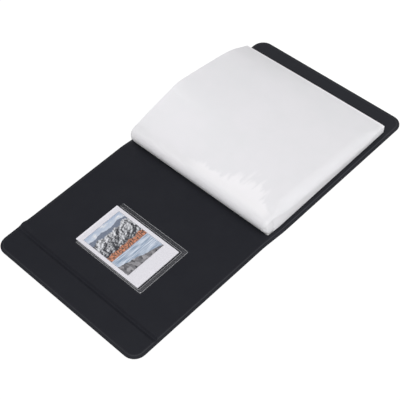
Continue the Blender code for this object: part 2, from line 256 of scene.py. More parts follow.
def fill_curve(mapping: bpy.types.CurveMapping, points: Sequence[Span]) -> None:
    """Give a float curve its points.

    Args:
        mapping: the curve mapping, which starts with its two end points.
        points: place and value of each point, in order.
    """
    curve = mapping.curves[0]
    curve.points[0].location = points[0]
    curve.points[1].location = points[-1]
    for place, value in points[1:-1]:
        curve.points.new(place, value)
    mapping.update()


class SurfaceGraph(NodeGraph):
    """Shader tree of one material, built round a Principled shader."""

    def __init__(self, name: str) -> None:
        """Make the material and its shader.

        Args:
            name: name of the material.
        """
        self.material = bpy.data.materials.new(name)
        self.material.use_nodes = True
        super().__init__(self.material.node_tree)
        self.shader = self.node("ShaderNodeBsdfPrincipled")
        output = self.node("ShaderNodeOutputMaterial")
        self.tree.links.new(self.shader.outputs[0], output.inputs["Surface"])

    def place(self) -> Wire:
        """Object coordinates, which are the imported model's metres."""
        return self.wire("ShaderNodeTexCoord", output="Object")

    def attribute(self, name: str) -> Wire:
        """Number stored on the piece's own points."""
        return self.wire("ShaderNodeAttribute", {"attribute_name": name}, output="Fac")

    def mix(self, share: Wire | float, first: Wire | Colour, second: Wire | Colour) -> Wire:
        """Colour between two others.

        Args:
            share: 0 for the first colour, 1 for the second.
            first: colour at 0.
            second: colour at 1.

        Returns:
            The mixed colour.
        """
        ends = [end if isinstance(end, Wire) else (*end, 1.0) for end in (first, second)]
        return self.wire("ShaderNodeMix", {"data_type": "RGBA"}, {0: share, 6: ends[0], 7: ends[1]}, 2)

    def bump(self, height: Wire, depth: float, strength: float = 1.0) -> Wire:
        """Normal of a relief that is as deep as depth, in metres."""
        return self.wire("ShaderNodeBump", None, {"Height": height, "Distance": depth, "Strength": strength})

    def set(self, **sockets: Any) -> bpy.types.Material:
        """Set the Principled shader's sockets, with spaces in their names written as underscores.

        Args:
            sockets: value or wire of each socket.

        Returns:
            The finished material.
        """
        for key, value in sockets.items():
            socket = self.shader.inputs[key.replace("_", " ")]
            if isinstance(value, Wire):
                self.tree.links.new(value.socket, socket)
            else:
                socket.default_value = value
        return self.material


@dataclass(frozen=True)
class Leatherette:
    """Satin coated cloth with a fine pebble grain, paler where the piece marks wear and painted light."""

    name: str
    dark: Colour
    light: Colour
    # Paler tone where the piece marks wear and painted light.
    worn_and_lit: Colour
    grain_per_metre: float = 1250.0
    grain_depth: float = 0.05 * MM
    fine_per_metre: float = 4200.0
    cloud_per_metre: float = 34.0
    pebble_edge: Span = (0.02, 0.35)
    cloud_edge: Span = (0.35, 0.7)
    smoothest: float = 0.40
    roughest: float = 0.56
    sheen: float = 0.10

    def material(self) -> bpy.types.Material:
        """Build the grain from cells and noise, and lighten what the piece marks: real wear together with
        painted light.

        Returns:
            The finished material.
        """
        graph = SurfaceGraph(self.name)
        place = graph.place()
        cells = graph.wire(
            "ShaderNodeTexVoronoi",
            {"feature": "DISTANCE_TO_EDGE"},
            {"Vector": place, "Scale": self.grain_per_metre},
            "Distance",
        )
        pebble = cells.rise(*self.pebble_edge)
        fine = graph.noise(place, self.fine_per_metre, 3.0, 0.6)
        cloud = graph.noise(place, self.cloud_per_metre, 4.0, 0.6).rise(*self.cloud_edge)
        base = graph.mix(cloud * 0.6 + pebble * 0.4, self.dark, self.light)
        # Real wear mixed with painted light: a painted highlight on the rim's shoulder and a painted lift of
        # the lining's shade.
        worn_and_lit = graph.attribute("wear_and_light") * fine.above(0.6)
        return graph.set(
            Base_Color=graph.mix(worn_and_lit, base, self.worn_and_lit),
            Roughness=self.smoothest + (self.roughest - self.smoothest) * (0.5 * cloud + 0.5 * fine),
            Normal=graph.bump(pebble * 0.8 + fine * 0.35, self.grain_depth, 0.8),
            Specular_IOR_Level=self.sheen,
        )


@dataclass(frozen=True)
class FrostedFilm:
    """Milky plastic film with a soft sheen, a fine frosted grain and marked creases: whitening with a
    painted highlight.
    """

    name: str
    clear: Colour = (0.770, 0.768, 0.790)
    milky: Colour = (0.797, 0.786, 0.814)
    # Paler tone of the marked creases: crease whitening that is also a painted highlight on the pleated
    # film.
    whitened_highlight: Colour = (0.885, 0.870, 0.895)
    roughness: float = 0.30
    frost_per_metre: float = 2600.0
    frost_depth: float = 0.02 * MM
    cloud_per_metre: float = 26.0
    cloud_edge: Span = (0.3, 0.7)
    scatter: float = 0.25
    scatter_reach: float = 2.5 * MM
    sheen: float = 0.20

    def material(self) -> bpy.types.Material:
        """Build the film with cloudy tone and frost, paler where the piece marks crease whitening and a
        painted highlight.

        Returns:
            The finished material.
        """
        graph = SurfaceGraph(self.name)
        place = graph.place()
        frost = graph.noise(place, self.frost_per_metre, 2.0, 0.6)
        cloud = graph.noise(place, self.cloud_per_metre, 3.0, 0.55)
        tone = cloud.rise(*self.cloud_edge) * 0.8 + frost * 0.2
        plain = graph.mix(tone, self.clear, self.milky)
        # Partly crease whitening, partly a painted highlight where the pleated film beside the binding faces
        # the light.
        whitening_and_highlight = graph.attribute("whitening_and_highlight") * (0.7 + 0.6 * frost)
        return graph.set(
            Base_Color=graph.mix(whitening_and_highlight, plain, self.whitened_highlight),
            Roughness=self.roughness + 0.10 * (cloud - 0.5) + 0.06 * (frost - 0.5),
            Normal=graph.bump(frost, self.frost_depth, 0.5),
            Subsurface_Weight=self.scatter,
            Subsurface_Radius=(1.0, 1.0, 1.0),
            Subsurface_Scale=self.scatter_reach,
            Specular_IOR_Level=self.sheen,
        )


@dataclass(frozen=True)
class WeldedStubs:
    """Edges of the leaves' stubs, welded side by side into one core."""

    name: str
    pitch: float = 1.6 * MM
    pale: Colour = (0.76, 0.76, 0.77)
    gap: Colour = (0.72, 0.72, 0.735)
    gap_depth: float = 0.1 * MM
    gap_edge: Span = (0.55, 0.95)
    ripple_per_metre: float = 60.0
    scatter: float = 0.2
    scatter_reach: float = 2.0 * MM

    def material(self) -> bpy.types.Material:
        """Build the core with a line between each two stubs.

        Returns:
            The finished material.
        """
        graph = SurfaceGraph(self.name)
        place = graph.place()
        height = graph.parts(place)[2]
        ripple = graph.noise(place, self.ripple_per_metre) * 0.6
        line = ((height / self.pitch + ripple) * math.tau).wave().rise(*self.gap_edge)
        return graph.set(
            Base_Color=graph.mix(line, self.pale, self.gap),
            Roughness=0.45 + 0.2 * line,
            Normal=graph.bump(1.0 - line, self.gap_depth),
            Subsurface_Weight=self.scatter,
            Subsurface_Scale=self.scatter_reach,
        )


@dataclass(frozen=True)
class ClearFilm:
    """Clear glossy film; what the piece marks as welded, and as a painted glint, is more opaque."""

    name: str
    tint: Colour = (0.20, 0.20, 0.22)
    haze_tint: Colour = (0.26, 0.26, 0.28)
    clear_alpha: float = 0.03
    weld_alpha: float = 0.45
    ripple_per_metre: float = 70.0
    ripple_depth: float = 0.25 * MM
    haze_per_metre: float = 900.0
    coat: float = 0.4
    coat_roughness: float = 0.06

    def material(self) -> bpy.types.Material:
        """Build the film with alpha from the mark of welds and painted glint, and slow ripples in its gloss.

        Returns:
            The finished material.
        """
        graph = SurfaceGraph(self.name)
        place = graph.place()
        ripple = graph.noise(place, self.ripple_per_metre)
        haze = graph.noise(place, self.haze_per_metre)
        # The mark holds welds, the painted highlight of the beads and the painted glint.
        weld_and_glint = graph.attribute("weld_and_glint")
        return graph.set(
            Base_Color=graph.mix(haze, self.tint, self.haze_tint),
            Roughness=0.10 + 0.12 * weld_and_glint + 0.06 * ripple,
            Alpha=self.clear_alpha + (self.weld_alpha - self.clear_alpha) * weld_and_glint * (0.75 + 0.5 * haze),
            Normal=graph.bump(ripple, self.ripple_depth, 0.5),
            Coat_Weight=self.coat * (1.0 - weld_and_glint),
            Coat_Roughness=self.coat_roughness,
        )


@dataclass(frozen=True)
class FibrousStock:
    """Board, card, cloth tape or foam: one tone with fibres or pores of a given scale."""

    name: str
    low: Colour
    high: Colour
    per_metre: float
    roughness: float
    depth: float
    stretch: float = 1.0
    tone_edge: Span = (0.3, 0.7)

    def material(self) -> bpy.types.Material:
        """Build the stock from stretched noise and flecks.

        Returns:
            The finished material.
        """
        graph = SurfaceGraph(self.name)
        x, y, z = graph.parts(graph.place())
        place = graph.vector(x * self.stretch, y, z)
        fibre = graph.noise(place, self.per_metre, 4.0, 0.65)
        cells = graph.wire("ShaderNodeTexVoronoi", None, {"Vector": place, "Scale": self.per_metre * 0.8})
        tone = fibre.rise(*self.tone_edge)
        return graph.set(
            Base_Color=graph.mix(tone, self.low, self.high),
            Roughness=self.roughness + 0.08 * (cells - 0.5),
            Normal=graph.bump(fibre * 0.6 + cells * 0.4, self.depth),
        )


@dataclass(frozen=True)
class LakePicture:
    """Small instant picture of a hilly lake in autumn, in layers that each hold height, swing and waves."""

    name: str
    low: Vector
    high: Vector
    far_hills: Point = (0.88, 0.20, 2.2)
    crags: Point = (0.80, 0.34, 3.0)
    trees: Point = (0.47, 0.14, 6.0)
    lake: Point = (0.36, 0.0, 1.0)
    shore: Point = (0.22, 0.09, 5.0)
    shore_slant: float = 0.20
    layer_edge: float = 0.006

    def material(self) -> bpy.types.Material:
        """Paint the picture in layers from the sky down to the shore.

        Returns:
            The finished material.
        """
        graph = SurfaceGraph(self.name)
        x, y, _ = graph.parts(graph.place())
        across = (x - self.low.x) / (self.high.x - self.low.x)
        up = (y - self.low.y) / (self.high.y - self.low.y)
        flat = graph.vector(across, up, 0.0)
        line = graph.vector(across, 0.0, 3.7)
        sky = graph.wire(
            "ShaderNodeValToRGB",
            {"stops": [(0.70, (0.80, 0.80, 0.84)), (0.85, (0.60, 0.66, 0.76)), (1.0, (0.40, 0.48, 0.62))]},
            {0: up},
        )
        cloud = graph.noise(graph.vector(across * 2.0, up * 7.0, 1.0), 1.6, 5.0, 0.6)
        colour = graph.mix(cloud.rise(0.48, 0.68), sky, (0.86, 0.86, 0.88))
        colour = self.ridge(graph, colour, up, line, self.far_hills, (0.16, 0.19, 0.26))
        crags = graph.noise(graph.vector(across * 6.0, up * 8.0, 8.0), 1.0, 9.0, 0.66)
        shaded = graph.noise(graph.vector(across * 6.0 + 0.16, up * 8.0 - 0.10, 8.0), 1.0, 9.0, 0.66)
        lit = ((crags - shaded) * 5.0 + up * 0.9 - 0.22).rise(0.0, 1.0)
        rock = graph.mix(lit, (0.012, 0.014, 0.022), (0.80, 0.81, 0.85))
        colour = self.ridge(graph, colour, up, line, self.crags, rock)
        trees = graph.noise(graph.vector(across * 44.0, up * 22.0, 5.0), 1.0, 3.0)
        autumn = graph.mix(trees.rise(0.38, 0.62), (0.05, 0.035, 0.03), (0.66, 0.25, 0.13))
        colour = self.ridge(graph, colour, up, line, self.trees, autumn)
        ripple = graph.noise(graph.vector(across * 3.0, up * 60.0, 2.0), 1.0, 3.0)
        lake = graph.mix(ripple.rise(0.35, 0.65), (0.22, 0.30, 0.42), (0.66, 0.72, 0.82))
        colour = self.ridge(graph, colour, up, line, self.lake, lake)
        stones = graph.wire("ShaderNodeTexVoronoi", None, {"Vector": flat, "Scale": 17.0}, "Color")
        tone = graph.parts(stones)[0]
        shore = graph.mix(tone, (0.03, 0.03, 0.037), (0.34, 0.33, 0.35))
        colour = self.ridge(graph, colour, up + across * self.shore_slant, line, self.shore, shore)
        return graph.set(Base_Color=colour, Roughness=0.22 + 0.05 * trees, Specular_IOR_Level=0.4)

    def ridge(
        self,
        graph: SurfaceGraph,
        behind: Wire,
        up: Wire,
        line: Wire,
        form: Point,
        front: Wire | Colour,
    ) -> Wire:
        """Lay one layer of the picture over what is behind it.

        Args:
            graph: shader tree of the picture.
            behind: colour painted so far.
            up: share of the picture's height.
            line: place along the layer's skyline.
            form: height, swing and waves of the skyline.
            front: colour of the layer.

        Returns:
            The colour with the layer on it.
        """
        height, swing, waves = form
        skyline = height + swing * (graph.noise(line, waves, 5.0, 0.6) - 0.5)
        return graph.mix((skyline - up).rise(-self.layer_edge, self.layer_edge), behind, front)


@dataclass(frozen=True)
class PaleFloor:
    """White table that glows a little, as a lit sweep does."""

    name: str
    glow: float = 0.96
    tone: Colour = (0.10, 0.10, 0.10)
    fleck_per_metre: float = 4.0

    def material(self) -> bpy.types.Material:
        """Build the floor.

        Returns:
            The finished material.
        """
        graph = SurfaceGraph(self.name)
        fleck = graph.noise(graph.place(), self.fleck_per_metre)
        return graph.set(
            Base_Color=(*self.tone, 1.0),
            Roughness=0.9 + 0.05 * fleck,
            Specular_IOR_Level=0.0,
            Emission_Color=(1.0, 1.0, 1.0, 1.0),
            Emission_Strength=self.glow,
        )


class ShapeTree(NodeGraph):
    """Geometry Nodes tree with named sizes, which ends in Realize Instances and Set Material."""

    def __init__(self, name: str, sizes: Iterable[str], counts: Iterable[str] = ()) -> None:
        """Make the tree and its inputs.

        Args:
            name: name of the tree.
            sizes: names of its number inputs.
            counts: names of its whole-number inputs.
        """
        tree = bpy.data.node_groups.new(name, "GeometryNodeTree")
        super().__init__(tree)
        sockets = [("Geometry", "NodeSocketGeometry")]
        sockets += [(label, "NodeSocketFloat") for label in sizes]
        sockets += [(label, "NodeSocketInt") for label in counts]
        sockets += [("Finish", "NodeSocketMaterial")]
        self.keys = {}
        for label, kind in sockets:
            self.keys[label] = tree.interface.new_socket(label, in_out="INPUT", socket_type=kind).identifier
        tree.interface.new_socket("Geometry", in_out="OUTPUT", socket_type="NodeSocketGeometry")
        self.entry = self.node("NodeGroupInput")

    def size(self, label: str) -> Wire:
        """One of the named inputs."""
        return Wire(self, self.entry.outputs[label])

    def close(self, geometry: Wire) -> None:
        """End the tree on the finished geometry.

        Args:
            geometry: what the tree makes.
        """
        plain = self.wire("GeometryNodeRealizeInstances", None, {"Geometry": geometry})
        smooth_shape = self.wire("GeometryNodeSetShadeSmooth", None, {"Geometry": plain})
        inputs = {"Geometry": smooth_shape, "Material": self.size("Finish")}
        dressed = self.wire("GeometryNodeSetMaterial", None, inputs)
        self.node("NodeGroupOutput", None, {0: dressed})

    def run(
        self,
        name: str,
        start: bpy.types.Mesh,
        sizes: Mapping[str, float | int],
        finish: bpy.types.Material,
    ) -> bpy.types.Object:
        """Run the tree on a mesh and keep the result as a plain mesh.

        Args:
            name: name of the new object.
            start: mesh that enters the tree.
            sizes: values of the named inputs.
            finish: material that is set at the end.

        Returns:
            The object, with no modifier left on it.
        """
        obj = bpy.data.objects.new(name, start)
        bpy.context.scene.collection.objects.link(obj)
        modifier = obj.modifiers.new("shape", "NODES")
        modifier.node_group = self.tree
        for label, value in sizes.items():
            modifier[self.keys[label]] = value
        modifier[self.keys["Finish"]] = finish
        depsgraph = bpy.context.evaluated_depsgraph_get()
        made = bpy.data.meshes.new_from_object(obj.evaluated_get(depsgraph), depsgraph=depsgraph)
        obj.modifiers.clear()
        obj.data = made
        made.name = name
        return obj


def bead_tree() -> ShapeTree:
    """Tree that lays a low rounded bead along the edges of a mesh.

    Returns:
        The tree.
    """
    tree = ShapeTree("bead_along_path", ("Width", "Height", "Step"))
    path = tree.wire("GeometryNodeMeshToCurve", None, {"Mesh": tree.size("Geometry")})
    inputs = {"Curve": path, "Length": tree.size("Step")}
    even = tree.wire("GeometryNodeResampleCurve", {"mode": "LENGTH"}, inputs)
    upright = tree.wire("GeometryNodeSetCurveNormal", {"mode": "Z_UP"}, {"Curve": even})
    ring = tree.wire("GeometryNodeCurvePrimitiveCircle", None, {"Resolution": 10, "Radius": 0.5})
    scale = tree.vector(tree.size("Width"), tree.size("Height"), 1.0)
    profile = tree.wire("GeometryNodeTransform", None, {"Geometry": ring, "Scale": scale})
    inputs = {"Curve": upright, "Profile Curve": profile, "Fill Caps": True}
    tree.close(tree.wire("GeometryNodeCurveToMesh", None, inputs))
    return tree


def knurl_tree() -> ShapeTree:
    """Tree that sets small pressed lozenges across a path, as a heat-seal jaw leaves them.

    Returns:
        The tree.
    """
    tree = ShapeTree("knurl_along_path", ("Pitch", "Length", "Width", "Height"))
    path = tree.wire("GeometryNodeMeshToCurve", None, {"Mesh": tree.size("Geometry")})
    inputs = {"Curve": path, "Length": tree.size("Pitch")}
    points = tree.node("GeometryNodeCurveToPoints", {"mode": "LENGTH"}, inputs).outputs
    inputs = {"Vector": Wire(tree, points["Tangent"])}
    turn = tree.wire("FunctionNodeAlignRotationToVector", {"axis": "X", "pivot_axis": "Z"}, inputs)
    pebble = tree.wire("GeometryNodeMeshIcoSphere", None, {"Radius": 0.5, "Subdivisions": 2})
    scale = tree.vector(tree.size("Width"), tree.size("Length"), tree.size("Height"))
    inputs = {"Points": Wire(tree, points["Points"]), "Instance": pebble, "Rotation": turn, "Scale": scale}
    tree.close(tree.wire("GeometryNodeInstanceOnPoints", None, inputs))
    return tree


@dataclass(frozen=True)
class LeafSpans:
    """Where and how a leaf's form changes over its width and its height."""

    fore_edge: Span = (0.80, 0.98)
    open_film: Span = (0.0, 0.14)
    fore_trim: Span = (0.982, 0.992)
    pleat_end: Span = (0.10, 0.60)
    mound_start: Span = (0.02, 0.22)
    mound_fall: Span = (0.22, 0.42)
    mound_end: Span = (0.50, 0.62)
    creased_start: Span = (0.01, 0.06)
    creased_end: Span = (0.48, 0.66)
    spread_end: Span = (0.0, 0.30)
    teeth: Span = (0.36, 0.66)
    # Where the whitening and painted highlight fade out, as shares of the creases' reach.
    whitened_highlight: Span = (0.60, 1.40)
    binding_sag: float = 0.3
    fore_sag: float = 0.08
    least_reach: float = 0.35
    mound_dip: float = 0.80
    tooth_base: float = 0.30
    kink_power: float = 5.0
    teeth_per_width: float = 5.0
    teeth_per_height: float = 42.0
    crease_least: float = 0.010
    crease_reach: float = 0.19
    pleat_lead: float = 0.04


def bowed_leaf_tree(spans: LeafSpans) -> ShapeTree:
    """Tree that bends a grid into one leaf of the wedge-shaped, bowed block.

    Args:
        spans: where and how the leaf's form changes.

    Returns:
        The tree.
    """
    sizes = (
        "Left", "Width", "Height", "Floor", "Back hinge", "Spine slope", "Hinge height", "Near rise",
        "Far rise", "Bow height", "Bow fade", "Pull in", "Middle", "Share", "Bulge", "Droop", "Droop reach",
        "Row bias", "Pleat height",
    )
    counts = ("Columns", "Rows")
    tree = ShapeTree("bowed_leaf", sizes, counts)
    size = {label: tree.size(label) for label in sizes + counts}
    width, height, share = size["Width"], size["Height"], size["Share"]
    sides = {"Size X": width, "Size Y": height, "Vertices X": size["Columns"], "Vertices Y": size["Rows"]}
    grid = tree.wire("GeometryNodeMeshGrid", None, sides)
    x, y, _ = tree.parts(tree.wire("GeometryNodeInputPosition"))
    across = x / width + 0.5
    along = (y / height + 0.5) ** size["Row bias"]
    bowed = along ** size["Bow fade"]
    place_x = size["Left"] + across * (width - size["Pull in"] * share * share * bowed)
    # The block lies flat on the back cover and rises with the spine.
    under = size["Floor"] + (size["Back hinge"] - place_x).most(0.0) * size["Spine slope"]
    rise = size["Near rise"] + (size["Far rise"] - size["Near rise"]) * along
    wedge = size["Hinge height"] + (size["Floor"] + rise - size["Hinge height"]) * across
    # The bow grows towards the far end and gets its kink there.
    soft = tree.wire("ShaderNodeFloatCurve", {"curve": LeafBlock.SOFT_BOW}, {"Value": across})
    kinked = tree.wire("ShaderNodeFloatCurve", {"curve": LeafBlock.BOW}, {"Value": across})
    bow = soft + (kinked - soft) * along ** spans.kink_power
    swell = size["Bow height"] * bow * bowed
    # The near edge sags, less so at the binding and at the fore-edge.
    trim = 1.0 - across.rise(*spans.fore_edge)
    open_film = across.rise(*spans.open_film)
    sagging = open_film.above(spans.binding_sag) * trim.above(spans.fore_sag)
    reach = size["Droop reach"] * open_film.above(spans.least_reach) * trim.above(spans.least_reach)
    outward = 1.0 - (along / reach).least(1.0)
    droop = size["Droop"] * sagging * (1.0 - (1.0 - outward * outward) ** 0.5)
    level = under + (wedge + swell - droop - under) * share
    # Beside the binding the film is pleated with jagged creases; the same mask marks crease whitening and a
    # painted highlight.
    jagged = tree.vector(across * spans.teeth_per_width, along * spans.teeth_per_height, 0.0)
    teeth = tree.noise(jagged, 1.0, 3.0, 0.55).rise(*spans.teeth)
    mound = along.rise(*spans.mound_start) * (1.0 - spans.mound_dip * along.rise(*spans.mound_fall))
    mound = mound * (1.0 - along.rise(*spans.mound_end))
    crazed = spans.crease_least + spans.crease_reach * mound * teeth.above(spans.tooth_base)
    climb = (across / (crazed + spans.pleat_lead)).least(1.0) * (1.0 - across.rise(*spans.pleat_end))
    near_end = (1.0 - along.rise(*spans.creased_end)) * along.rise(*spans.creased_start)
    pleat = size["Pleat height"] * climb * near_end
    # Painted highlight with crease whitening, from the binding out to the jagged tips of the creases.
    whitening_and_highlight = (1.0 - (across / crazed).rise(*spans.whitened_highlight)) * near_end
    # The lower a leaf lies, the further its near fore-edge corner is shifted along Y.
    spread = across * (1.0 - along.rise(*spans.spread_end)) * (1.0 - share)
    place_y = size["Middle"] + (along - 0.5) * height - size["Bulge"] * spread
    # The mark goes on the points, and is also raised on a narrow band along the fore-edge.
    inputs = {"Geometry": grid, "Name": "whitening_and_highlight", "Value": whitening_and_highlight.most(across.rise(*spans.fore_trim))}
    settings = {"data_type": "FLOAT", "domain": "POINT"}
    marked = tree.wire("GeometryNodeStoreNamedAttribute", settings, inputs)
    moved = tree.vector(place_x, place_y, level + pleat)
    tree.close(tree.wire("GeometryNodeSetPosition", None, {"Geometry": marked, "Position": moved}))
    return tree


def add_object(name: str, mesh: bpy.types.Mesh, finish: bpy.types.Material) -> bpy.types.Object:
    """Put a mesh in the scene as a smooth-shaded piece.

    Args:
        name: name of the piece.
        mesh: its mesh, in place.
        finish: its material.

    Returns:
        The new object.
    """
    mesh.name = name
    mesh.materials.clear()
    mesh.materials.append(finish)
    mesh.shade_smooth()
    mesh.set_sharp_from_angle(angle=SMOOTH_ANGLE)
    obj = bpy.data.objects.new(name, mesh)
    bpy.context.scene.collection.objects.link(obj)
    return obj


def settle(piece: bpy.types.Object, slot: Slot, body: str | None = None) -> None:
    """Attach a finished piece to its body, if one is given, and report it with its slot.

    Args:
        piece: the piece.
        slot: its material slot.
        body: body that it rides on, if any.
    """
    if body:
        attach(piece, body)
    LOG.info("%s: %d faces, slot %s", piece.name, len(piece.data.polygons), slot.value)


def mark_points(mesh: bpy.types.Mesh, name: str, values: Field) -> None:
    """Store one number on each point of a mesh.

    Args:
        mesh: the mesh.
        name: name of the attribute.
        values: one number for each point.
    """
    attribute = mesh.attributes.new(name, "FLOAT", "POINT")
    attribute.data.foreach_set("value", values.astype(np.float32))


def point_marks(mesh: bpy.types.Mesh, name: str) -> Field:
    """Numbers stored on the points of a mesh.

    Args:
        mesh: the mesh.
        name: name of the attribute.

    Returns:
        One number for each point.
    """
    values = np.empty(len(mesh.vertices), dtype=np.float32)
    mesh.attributes[name].data.foreach_get("value", values)
    return values


def mesh_points(mesh: bpy.types.Mesh) -> Field:
    """Points of a mesh as rows of X, Y and Z."""
    points = np.empty(len(mesh.vertices) * 3)
    mesh.vertices.foreach_get("co", points)
    return points.reshape(-1, 3)


def polyline(name: str, runs: Iterable[Field]) -> bpy.types.Mesh:
    """Mesh of loose edges along one or more runs of points.

    Args:
        name: name of the mesh.
        runs: rows of X, Y and Z for each run.

    Returns:
        The mesh.
    """
    points = []
    edges = []
    for run in runs:
        first = len(points)
        points += [tuple(point) for point in run]
        edges += [(index, index + 1) for index in range(first, len(points) - 1)]
    mesh = bpy.data.meshes.new(name)
    mesh.from_pydata(points, edges, [])
    return mesh


def grid_border(rows: int, columns: int) -> list[tuple[int, int]]:
    """Row and column of the points round a grid, anticlockwise from its low corner.

    Args:
        rows: last row's number.
        columns: last column's number.

    Returns:
        The border in order.
    """
    near = [(0, column) for column in range(columns + 1)]
    right = [(row, columns) for row in range(1, rows + 1)]
    far = [(rows, column) for column in range(columns - 1, -1, -1)]
    left = [(row, 0) for row in range(rows - 1, 0, -1)]
    return near + right + far + left


def closed_sheet(name: str, top: Field, under: Field, lip: float) -> bpy.types.Mesh:
    """Close two grids of points into a thin sheet with a rounded edge.

    Args:
        name: name of the mesh.
        top: points of the upper face, by row and column.
        under: points of the under face.
        lip: how far the edge stands out, as a share of the thickness.

    Returns:
        The closed mesh.
    """
    rows, columns = top.shape[0] - 1, top.shape[1] - 1
    border = grid_border(rows, columns)
    middle = []
    for row, column in border:
        inner = top[min(max(row, 1), rows - 1), min(max(column, 1), columns - 1)]
        out = top[row, column] - inner
        reach = lip * np.linalg.norm(top[row, column] - under[row, column])
        middle.append((top[row, column] + under[row, column]) / 2 + out * reach / np.linalg.norm(out))
    count = top.shape[0] * top.shape[1]
    points = np.concatenate([top.reshape(-1, 3), under.reshape(-1, 3), np.array(middle)])

    def number(row: int, column: int) -> int:
        """Number of a grid point on the upper face."""
        return row * (columns + 1) + column

    faces = []
    for row in range(rows):
        for column in range(columns):
            ring = [number(row, column), number(row, column + 1)]
            ring += [number(row + 1, column + 1), number(row + 1, column)]
            faces.append(ring)
            faces.append([count + index for index in reversed(ring)])
    for index, (row, column) in enumerate(border):
        following = (index + 1) % len(border)
        over = number(row, column), number(*border[following])
        edge = 2 * count + index, 2 * count + following
        faces.append([over[0], edge[0], edge[1], over[1]])
        faces.append([edge[0], count + over[0], count + over[1], edge[1]])
    mesh = bpy.data.meshes.new(name)
    mesh.from_pydata([tuple(point) for point in points], [], faces)
    return mesh


@dataclass(frozen=True)
class Ripple:
    """Slow waves over a sheet: a chequer of two waves and one that runs aslant, in radians to the metre."""

    per_x: float
    per_y: float
    shift_x: float
    shift_y: float
    slant_x: float
    slant_y: float
    slant_share: float

    def height(self, x: Field, y: Field) -> Field:
        """Height of the waves, where the chequer alone reaches 1."""
        chequer = np.sin(x * self.per_x + self.shift_x) * np.sin(y * self.per_y + self.shift_y)
        return chequer + self.slant_share * np.sin(x * self.slant_x - y * self.slant_y)


@dataclass(frozen=True)
class HingeLines:
    """Points on the lines that the album turns about."""

    crease: Vector
    front: Vector
    back: Vector
    roll: Vector
    leaf: Vector

    @classmethod
    def read(cls) -> "HingeLines":
        """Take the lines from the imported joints."""
        names = ("flap_fold", "front_hinge", "spine_hinge", "binding_roll_hinge", "leaf_01_turn")
        return cls(*(joint_place(name) for name in names))


@dataclass(frozen=True)
class Plan:
    """Rectangle with round corners, seen from above."""

    x_low: float
    x_high: float
    y_low: float
    y_high: float
    radius: float
    corner_steps: int = 10
    least_radius: float = 0.5 * MM

    def ring(self, inset: float, layer: float) -> list[Point]:
        """Loop of points drawn in from the outline.

        Args:
            inset: distance from the outline.
            layer: number kept as the points' height, 0 for the under side and 1 for the upper.

        Returns:
            The points, anticlockwise.
        """
        radius = max(self.radius - inset, self.least_radius)
        x_low, x_high = self.x_low + inset + radius, self.x_high - inset - radius
        y_low, y_high = self.y_low + inset + radius, self.y_high - inset - radius
        centres = ((x_high, y_low), (x_high, y_high), (x_low, y_high), (x_low, y_low))
        points = []
        for quarter, (centre_x, centre_y) in enumerate(centres):
            for step in range(self.corner_steps + 1):
                angle = math.pi / 2 * (quarter - 1 + step / self.corner_steps)
                x = centre_x + radius * math.cos(angle)
                y = centre_y + radius * math.sin(angle)
                points.append((x, y, layer))
        return points

    def depth(self, x: Field, y: Field) -> Field:
        """Distance of points inward from the outline.

        Args:
            x: places along X.
            y: places along Y.

        Returns:
            The distances.
        """
        half_x, half_y = (self.x_high - self.x_low) / 2, (self.y_high - self.y_low) / 2
        off_x = np.abs(x - (self.x_low + self.x_high) / 2) - (half_x - self.radius)
        off_y = np.abs(y - (self.y_low + self.y_high) / 2) - (half_y - self.radius)
        outside = np.hypot(np.maximum(off_x, 0.0), np.maximum(off_y, 0.0))
        inside = np.minimum(np.maximum(off_x, off_y), 0.0)
        return self.radius - outside - inside

    def sheet(self, over: Sequence[float], under: Sequence[float]) -> bmesh.types.BMesh:
        """Flat closed sheet whose points hold 0, a half or 1 as height, for under, edge and upper side.

        Args:
            over: insets of the loops on the upper side, from the edge inward.
            under: insets of the loops on the under side, from the edge inward.

        Returns:
            The sheet.
        """
        rings = [self.ring(inset, 0.0) for inset in reversed(under)]
        rings.append(self.ring(0.0, 0.5))
        rings += [self.ring(inset, 1.0) for inset in over]
        return loft(rings)


def loft(rings: Sequence[Sequence[Point]]) -> bmesh.types.BMesh:
    """Close a row of loops of points into one shape.

    Args:
        rings: the loops, each with the same number of points, from one end to the other.

    Returns:
        The shape, with a face over each end.
    """
    shape = bmesh.new()
    loops = [[shape.verts.new(point) for point in ring] for ring in rings]
    count = len(rings[0])
    for lower, upper in zip(loops, loops[1:]):
        for index in range(count):
            following = (index + 1) % count
            shape.faces.new((lower[index], lower[following], upper[following], upper[index]))
    shape.faces.new(list(reversed(loops[0])))
    shape.faces.new(loops[-1])
    return shape


def shape_mesh(shape: bmesh.types.BMesh, name: str) -> bpy.types.Mesh:
    """Turn a shape into a mesh with its faces outward, and let the shape go.

    Args:
        shape: the shape.
        name: name of the mesh.

    Returns:
        The mesh.
    """
    bmesh.ops.recalc_face_normals(shape, faces=shape.faces[:])
    mesh = bpy.data.meshes.new(name)
    shape.to_mesh(mesh)
    shape.free()
    return mesh


def slice_shape(shape: bmesh.types.BMesh, axis: int, place: float, drop: int = 0) -> None:
    """Cut a shape along a plane square to an axis.

    Args:
        shape: the shape.
        axis: 0 for X or 1 for Y.
        place: where the plane lies.
        drop: 1 takes away what lies above the plane, -1 what lies below, and 0 nothing.
    """
    point = [0.0, 0.0, 0.0]
    point[axis] = place
    normal = [0.0, 0.0, 0.0]
    normal[axis] = float(drop or 1)
    everything = shape.verts[:] + shape.edges[:] + shape.faces[:]
    plane = {"plane_co": point, "plane_no": normal, "dist": SLICE_TOLERANCE}
    bmesh.ops.bisect_plane(shape, geom=everything, clear_outer=bool(drop), **plane)
    if drop:
        rim = [edge for edge in shape.edges if edge.is_boundary]
        bmesh.ops.holes_fill(shape, edges=rim, sides=0)


